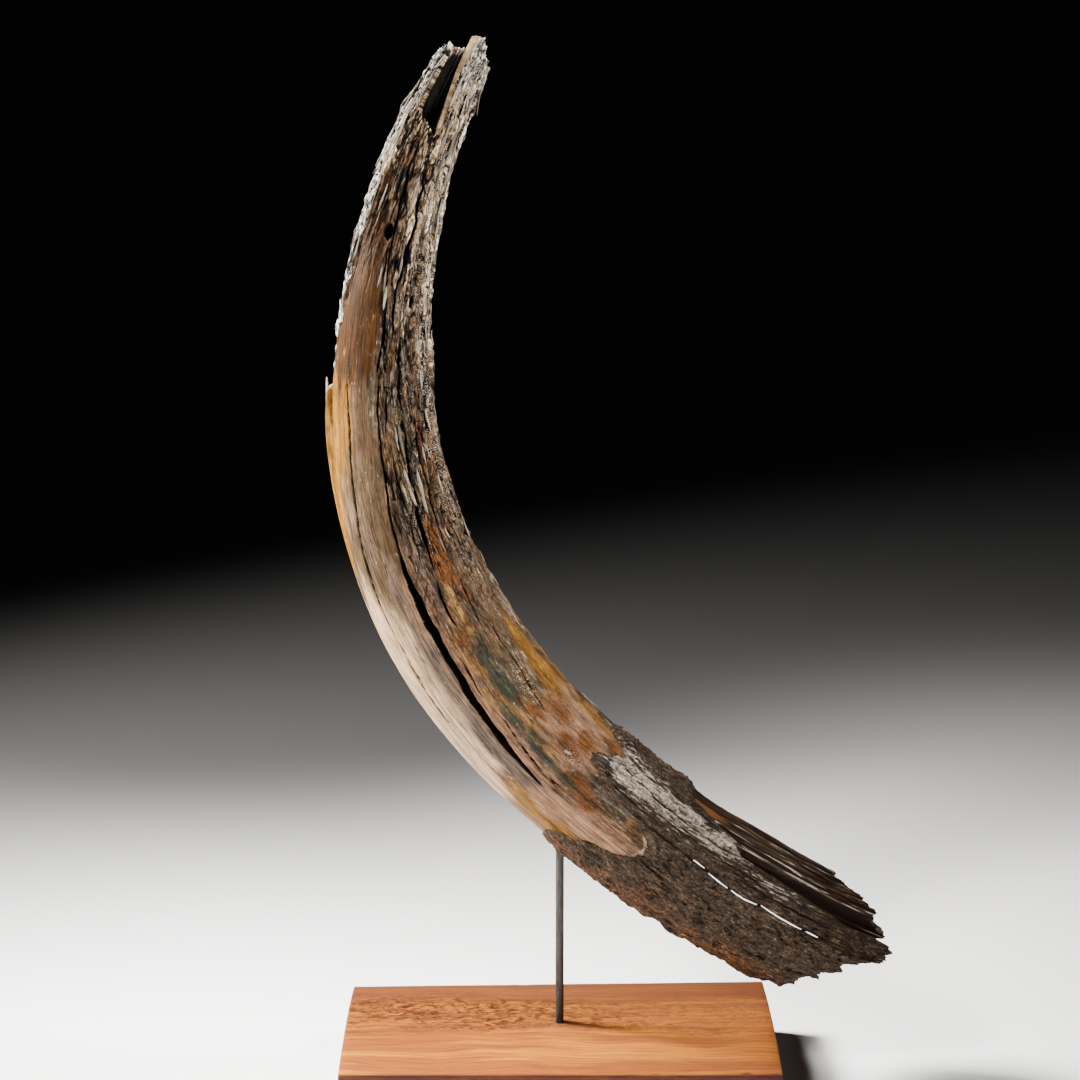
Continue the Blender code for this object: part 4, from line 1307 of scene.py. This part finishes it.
def buildBark():
    s = barkSettings
    angle = columnAngles(s["columns"])
    start, stop = barkLines(angle)
    body = rowsBetween(start, stop, s["rows"])
    flatAlong, flatAngle = flatGrid(body, angle)
    height, openness, uneven = barkRelief(straightSpace(flatAlong, flatAngle), flatAlong, flatAngle)
    fromEdge = np.minimum(body - start, stop - body).ravel()
    lift = 0.30 + 0.70 * smoothStep(0.0, 0.016, fromEdge + 0.003 * uneven)
    height = np.where(height > 0, height * lift, height)
    surface = place(flatAlong, flatAngle, height).reshape(*body.shape, 3)
    topStart, topStop = height.reshape(body.shape)[[0, -1]]

    def edgeRow(line, top, k, back, bite, seed):
        # a row of the broken edge, from the top of the bark at 0 down to its underside
        share = k / s["edgeRows"]
        ragged = bite * grain(line, angle, 20.0, 0.01, seed + k)
        return line - back * share + ragged, top + (s["under"] - top) * share

    rings = [edgeRow(stop, topStop, k, 0.0006, 0.0011, 5.0) for k in range(1, s["edgeRows"])]
    rings += [(along, np.full(len(angle), s["under"])) for along in rowsBetween(stop, start, s["innerRows"])]
    rings += [edgeRow(start, topStart, k, 0.0, 0.0009, 15.0) for k in range(s["edgeRows"] - 1, 0, -1)]
    rings.append((start, topStart))      # the last ring meets the first
    points = np.concatenate([surface, [place(along, angle, height) for along, height in rings]])
    allAlong = np.concatenate([body, [along for along, _ in rings]])
    flat = flatGrid(allAlong, angle)
    masks = {tone: ovalMask(*flat, ovals).reshape(allAlong.shape) for tone, ovals in s["stains"].items()}
    masks["straight"] = straightSpace(*flat).reshape(points.shape)
    # painted shade, at part strength on the broken edge and underside
    masks["open"] = np.pad(openness.reshape(body.shape), [(0, len(rings)), (0, 0)], constant_values=0.35)
    return gridPiece("tuskBark", points, masks)


tuskBark = buildBark()
setMaterial(tuskBark, barkMaterial())
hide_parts("tusk")
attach(tuskBark, "root")

# the slit that daylight shows through, in slots with bridges between
slitSettings = {
    # millimetres along, degrees
    "slots": [
        [(1076, 19.0), (1085, 18.6), (1093, 18.0)],
        [(1100, 16.0), (1114, 14.4), (1129, 13.0)],
        [(1134, 13.0), (1155, 11.5), (1170, 12.5)],
        [(1175, 13.5), (1206, 11.0), (1233, 10.0)],
        [(1239, 10.0), (1248, 9.7), (1256, 9.5)],
    ],
    "width": 0.0016,
    "step": 0.004,
    "before": 0.050,
    "behind": 0.230,
}


def slitBlade(number, slot):
    # a thin blade that fans out from the viewpoint, so the slit opens to it along its whole length
    s = slitSettings
    slot = np.array(slot) / (1000.0, 1.0)
    count = max(4, int((slot[-1, 0] - slot[0, 0]) / s["step"]))
    along = np.linspace(slot[0, 0], slot[-1, 0], count)
    surface = place(along, curveThrough(slot[:, 0], slot[:, 1], along)[:, 0])
    through = unit(surface - np.array(cameraSettings["place"]))
    thick = unit(np.cross(sectionFrame(along)[1], through))
    wave = noiseAt(along / 0.005, number * 2.0, 3.0)
    taper = 0.35 + 0.65 * np.sin(np.pi * np.linspace(0.04, 0.96, count)) ** 0.6
    half = thick * (s["width"] / 2.0 * taper * (1.0 + 0.25 * wave))[:, None]
    shift = thick * (0.0005 * wave)[:, None]
    near = surface - through * s["before"] + shift
    far = surface + through * s["behind"] + shift
    return np.stack([near - half, near + half, far + half, far - half], axis=1)


def cutSlit():
    cutter = ringsPiece("slitCutter", [slitBlade(*slot) for slot in enumerate(slitSettings["slots"])])
    for piece in (tuskCore, tuskBark):
        addModifier(piece, "slit", "BOOLEAN", operation="DIFFERENCE", solver="MANIFOLD", object=cutter)
        applyAll(piece)
        print(piece.name, "slit through,", len(piece.data.polygons), "faces")
    bpy.data.objects.remove(cutter, do_unlink=True)


cutSlit()

# splinters and flakes that stand off the split surface
splinterSettings = {
    "seed": 41,
    "count": 300,
    "sink": 0.45,         # share of its thickness that a splinter sinks in
    # along a splinter: the ring's place and its thickness
    "rings": [(0.0, 0.06), (0.12, 0.70), (0.38, 1.0), (0.66, 0.85), (0.88, 0.55), (1.0, 0.08)],
    # round a ring: across, down, tilt
    "section": [(-1.0, -0.55, -1.0), (-0.35, 0.0, -0.4), (0.45, -0.05, 0.5), (1.0, -0.5, 1.0),
                (0.0, -1.1, 0.0)],
    # the others lie between these, in the order of the draws
    "ranges": {"length": (0.012, 0.034), "width": (0.0014, 0.0034), "thick": (0.0009, 0.0019),
               "lift": (0.0, 0.0018), "lean": (-2.5, 2.5), "twist": (-0.8, 0.8)},
    "placedTwist": 0.3,
    "clearOfRim": 0.03,
    "last": 0.88,
    # placed one by one: along, angle, length, width, thickness, lift, lean, tone
    "placed": [
        (0.424, -86, 0.052, 0.0044, 0.0036, -0.0030, 5.0, 1.0),
        (0.252, -86, 0.024, 0.0034, 0.0026, -0.0050, 1.0, 0.9),
        (0.508, 20, 0.018, 0.0034, 0.0022, 0.0008, 2.0, 0.6),
        (0.531, 22, 0.022, 0.0040, 0.0026, 0.0010, 2.0, 0.7),
        (0.528, 33, 0.052, 0.0050, 0.0030, 0.0016, -1.0, 0.6),
        (0.468, 22, 0.040, 0.0036, 0.0026, 0.0012, 1.0, 0.3),
        (0.880, 24, 0.010, 0.0030, 0.0016, 0.0010, 2.0, 1.0),
    ],
}


def splinterShape(along, angle, length, width, thick, lift, lean, twist):
    # pointed at both ends, one end lifted
    s = splinterSettings
    t, body = np.array(s["rings"]).T
    across, down, tilt = np.array(s["section"]).T
    a = along + (t - 0.5) * length
    g = angle + lean * (t - 0.5)
    half = np.degrees(body * width / 2.0 / halfWidths(a).mean(axis=0))
    height, _, _ = tuskRelief(a, g)
    height = np.maximum(height, np.median(height))
    top = height + thick * (1.0 - s["sink"]) + lift * t ** 2
    return [place(np.full(len(across), a[i]), g[i] + across * half[i],
                  top[i] + down * thick * max(body[i], 0.25) + tilt * (twist * (t[i] - 0.5)) * thick)
            for i in range(len(t))]


def addSplinters():
    s = splinterSettings
    draw = random.Random(s["seed"])
    shapes, tones = [], []
    for *numbers, tone in s["placed"]:
        shapes.append(splinterShape(*numbers, s["placedTwist"]))
        tones.append(tone)
    while len(shapes) < s["count"]:
        along = 0.05 + 0.86 * draw.random() ** 1.5
        angle = draw.uniform(-180, 180)
        rough = roughness(np.array([along]), np.array([angle]))[0]
        rim = float(closedLine(tuskForm["rim"], angle))
        if draw.random() > rough or along < rim + s["clearOfRim"] or along > s["last"]:
            continue
        upper = 1.0 - smoothStep(0.15, 0.45, along)
        sizes = {name: draw.uniform(*limits) for name, limits in s["ranges"].items()}
        sizes["length"] *= 1.0 + 0.5 * upper
        sizes["lift"] *= 0.4 + upper
        shapes.append(splinterShape(along, angle, **sizes))
        tones.append(draw.random())
    piece = ringsPiece("tuskSplinters", shapes)
    layer = piece.data.attributes.new("tone", "FLOAT", "POINT")
    layer.data.foreach_set("value", np.repeat(tones, len(piece.data.vertices) // len(tones)))
    print(piece.name, len(piece.data.polygons), "faces")
    return piece


tuskSplinters = addSplinters()
setMaterial(tuskSplinters, splinterMaterial())
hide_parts("tusk")
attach(tuskSplinters, "root")

# the wooden block
blockSettings = {
    "length": 0.504,
    "front": -0.128,
    "backLeft": 0.127,
    "backRight": 0.142,
    "edgeHeight": 0.065,
    "crown": 0.009,
    "rounding": 0.0016,
    "longEdge": 0.02,
    "cuts": 62,
    "socket": 0.0053,
    "socketDepth": 0.040,
    "drillLength": 0.10,
    "planing": 0.0003,
    "wear": 0.0009,
    "chips": 0.0050,
    "smoothAngle": 35,
}


def shapeBlock(spots):
    # the plain block's points become crowned and worn, with a back that isn't square to the front
    s = blockSettings
    depth = s["backRight"] - s["front"]
    shareX = (spots[:, 0] + s["length"] / 2.0) / s["length"]
    shareY = (spots[:, 1] + depth / 2.0) / depth
    shareZ = (spots[:, 2] + s["edgeHeight"] / 2.0) / s["edgeHeight"]
    back = s["backLeft"] + (s["backRight"] - s["backLeft"]) * shareX
    crown = s["crown"] * (1.0 - (2.0 * shareY - 1.0) ** 2)
    x = spots[:, 0]
    y = s["front"] + (back - s["front"]) * shareY
    z = (s["edgeHeight"] + crown) * shareZ
    # hand planing on top, wear along the edges and a few chips at the right end of the front edge
    top = smoothStep(0.90, 1.0, shareZ)
    z = z - top * s["planing"] * (noiseAt(x * 9.0, y * 34.0, 2.0) + 0.5)
    fromEdge = np.minimum(np.minimum(shareX, 1 - shareX) * s["length"],
                          np.minimum(shareY, 1 - shareY) * depth)
    worn = np.maximum(0.0, noiseAt(x * 60.0, y * 60.0, z * 60.0))
    z = z - top * fallOff(fromEdge, 0.004) * s["wear"] * worn
    chips = np.maximum(0.0, noiseAt(x * 150.0, y * 150.0, 7.0) - 0.05)
    frontRight = fallOff(y - s["front"], 0.006) * smoothStep(0.16, 0.24, x)
    z = z - top * frontRight * s["chips"] * chips
    return np.stack([x, y, z], axis=1)


def buildBlock():
    s = blockSettings
    block = addPrimitive(bpy.ops.mesh.primitive_cube_add, "woodBlock", size=1.0)
    bpy.ops.transform.resize(value=(s["length"], s["backRight"] - s["front"], s["edgeHeight"]))
    bakePlace(block)
    addModifier(block, "rounding", "BEVEL", width=s["rounding"], segments=3)
    applyAll(block)
    subdivideEdges(block, s["cuts"], lambda a, b: (a - b).length > s["longEdge"])
    block.data.vertices.foreach_set("co", shapeBlock(readSpots(block.data)).ravel())
    block.data.update()
    middle = s["edgeHeight"] - s["socketDepth"] + s["drillLength"] / 2.0
    drill = addPrimitive(bpy.ops.mesh.primitive_cylinder_add, "drill", vertices=48, radius=s["socket"],
                         depth=s["drillLength"], location=(0, 0, middle))
    addModifier(block, "hole", "BOOLEAN", operation="DIFFERENCE", solver="EXACT", object=drill)
    applyAll(block)
    bpy.data.objects.remove(drill, do_unlink=True)
    bpy.ops.object.shade_smooth_by_angle(angle=math.radians(s["smoothAngle"]))
    print(block.name, len(block.data.polygons), "faces")
    return block


woodTones = {
    "pale": (0.350, 0.114, 0.0085),
    "middle": (0.196, 0.0575, 0.0095),
    "deep": (0.075, 0.0243, 0.0120),
    "dark": (0.032, 0.0100, 0.0045),
    "faceShade": (0.30, 0.27, 0.80),
}


def woodMaterial():
    tones = woodTones
    material, shader = newMaterial("woodWarm", IOR=1.45, Specular_IOR_Level=0.10)
    vector = objectVector(shader)
    x, y, z = addNode(shader.id_data, "ShaderNodeSeparateXYZ", {"Vector": vector}).outputs
    # slow waves bend the grain, more so in the figured patch across the middle
    bend = mappedNoise(vector, (5.0, 9.0, 9.0))
    figure = mappedNoise(vector, (64.0, 110.0, 110.0), 5.0, 0.66, 1.4)
    nearFigure = calculate("ABSOLUTE", timesPlus(minus(bend, 0.5), 0.16, minus(y, 0.030)))
    patched = times(ramp(nearFigure, 0.085, 0.030), ramp(x, 0.20, -0.10, 0.45, 1.0))
    shift = timesPlus(times(minus(figure, 0.5), 0.030), patched, times(minus(bend, 0.5), 0.050))
    bent = addNode(shader.id_data, "ShaderNodeCombineXYZ", {"X": x, "Y": plus(y, shift), "Z": z}).outputs[0]
    bands = mappedNoise(bent, (3.4, 40.0, 40.0), 5.0, 0.62)
    lines = mappedNoise(bent, (9.0, 320.0, 320.0), 5.0, 0.65)
    pores = mappedNoise(bent, (60.0, 900.0, 900.0))
    backBand = ramp(timesPlus(bend, 0.05, y), 0.070, 0.120, 0.0, 0.80)
    colour = mixColour(ramp(bands, 0.42, 0.57), tones["middle"], tones["pale"])
    for mask, tone in ((ramp(lines, 0.46, 0.62, 0.0, 0.52), "deep"), (times(patched, 0.60), "deep"),
                       (times(ramp(figure, 0.46, 0.60), times(patched, 0.95)), "dark"),
                       (times(ramp(figure, 0.46, 0.36, 0.0, 0.45), patched), "pale"),
                       (backBand, "deep"), (ramp(x, -0.08, 0.24, 0.0, 0.50), "deep")):
        colour = mixColour(mask, colour, tones[tone])
    # the block's sides, below the top, are darkened: painted shade
    face = ramp(z, 0.0644, 0.0656, 1.0, 0.0)
    colour = mixColour(face, colour, tones["faceShade"], "MULTIPLY")
    colour = mixColour(ramp(pores, 0.60, 0.74, 0.0, 0.45), colour, tones["dark"])
    finish(shader, colour, ramp(lines, 0.3, 0.7, 0.36, 0.52), timesPlus(pores, 0.5, lines), 0.0004, 0.6)
    return material


woodBlock = buildBlock()
setMaterial(woodBlock, woodMaterial())
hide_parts("base")
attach(woodBlock, "root")

# the steel rod
rodSettings = {
    "radius": 0.005,
    "low": 0.0252,
    "high": 0.330,
    "sides": 64,
    "ends": 0.0006,
    "longEdge": 0.1,
    "cuts": 150,
    "hammer": 0.00010,
    "smoothAngle": 40,
}


def buildRod():
    s = rodSettings
    rod = addPrimitive(bpy.ops.mesh.primitive_cylinder_add, "steelRod", vertices=s["sides"],
                       radius=s["radius"], depth=s["high"] - s["low"],
                       location=(0, 0, (s["high"] + s["low"]) / 2.0))
    bakePlace(rod)
    addModifier(rod, "ends", "BEVEL", width=s["ends"], segments=3, limit_method="ANGLE")
    applyAll(rod)
    subdivideEdges(rod, s["cuts"], lambda a, b: abs(a.z - b.z) > s["longEdge"])
    spots = readSpots(rod.data)
    x, y, z = spots.T
    dent = s["hammer"] * noiseAt(x * 300.0, y * 300.0, z * 120.0) + s["hammer"]
    spots[:, :2] -= spots[:, :2] / s["radius"] * dent[:, None]
    rod.data.vertices.foreach_set("co", spots.ravel())
    rod.data.update()
    bpy.ops.object.shade_smooth_by_angle(angle=math.radians(s["smoothAngle"]))
    print(rod.name, len(rod.data.polygons), "faces")
    return rod


def steelMaterial():
    material, shader = newMaterial("steelDark", Metallic=0.60, IOR=1.45)
    vector = objectVector(shader)
    cloud = mappedNoise(vector, (260.0, 260.0, 60.0), 5.0, 0.65)
    grit = useGroup(crumbs, Vector=vector, Scale=1500.0, Specks=0.62)
    colour = mixColour(ramp(cloud, 0.35, 0.65), (0.018, 0.016, 0.015), (0.052, 0.047, 0.043))
    colour = mixColour(times(grit["Specks"], 0.5), colour, (0.16, 0.10, 0.07))
    finish(shader, colour, ramp(cloud, 0.3, 0.7, 0.34, 0.56), grit["Height"], 0.0002, 0.6)
    return material


steelRod = buildRod()
setMaterial(steelRod, steelMaterial())
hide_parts("rod")
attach(steelRod, "root")

# floor and lights
studio = {
    "floorSize": 60.0,
    "floorTone": (0.92, 0.92, 0.92),
    "world": (0.50, 0.52, 0.55),
    "worldStrength": 0.003,
    # place, aim, power, size, spread in degrees, tone
    "lights": {
        "key": ((-2.15, 0.50, 2.00), (-0.15, -0.18, 0.25), 52.0, 0.75, 48.0, (1.0, 0.97, 0.93)),
        "keySoft": ((-2.15, 0.50, 2.00), (-0.05, 0.06, 0.40), 14.0, 0.75, 104.0, (1.0, 0.97, 0.93)),
        "pool": ((-2.00, 0.20, 2.60), (-0.50, -0.60, 0.0), 14.0, 0.90, 32.0, (1.0, 0.99, 0.97)),
        "front": ((-1.50, -1.50, 2.50), (-0.06, 0.0, 0.70), 5.0, 0.80, 20.0, (1.0, 0.97, 0.93)),
        "right": ((1.50, -0.10, 2.40), (-0.10, 0.0, 0.95), 10.0, 0.40, 36.0, (1.0, 0.98, 0.95)),
    },
}


def addStudio():
    floor = addPrimitive(bpy.ops.mesh.primitive_plane_add, "floor", size=studio["floorSize"])
    material, shader = newMaterial("floorPale", Roughness=0.75)
    shader.inputs["Base Color"].default_value = (*studio["floorTone"], 1.0)
    setMaterial(floor, material)
    for name, (spot, aim, power, size, spread, tone) in studio["lights"].items():
        data = bpy.data.lights.new(name, "AREA")
        data.energy, data.size, data.color = power, size, tone
        data.spread = math.radians(spread)
        lamp = bpy.data.objects.new(name, data)
        lamp.location = spot
        lamp.rotation_euler = (Vector(aim) - Vector(spot)).to_track_quat("-Z", "Y").to_euler()
        bpy.context.scene.collection.objects.link(lamp)
    world = bpy.data.worlds.new("studio")
    world.use_nodes = True
    background = world.node_tree.nodes["Background"]
    background.inputs["Color"].default_value = (*studio["world"], 1.0)
    background.inputs["Strength"].default_value = studio["worldStrength"]
    bpy.context.scene.world = world


addStudio()
print("stand, floor and lights ready")
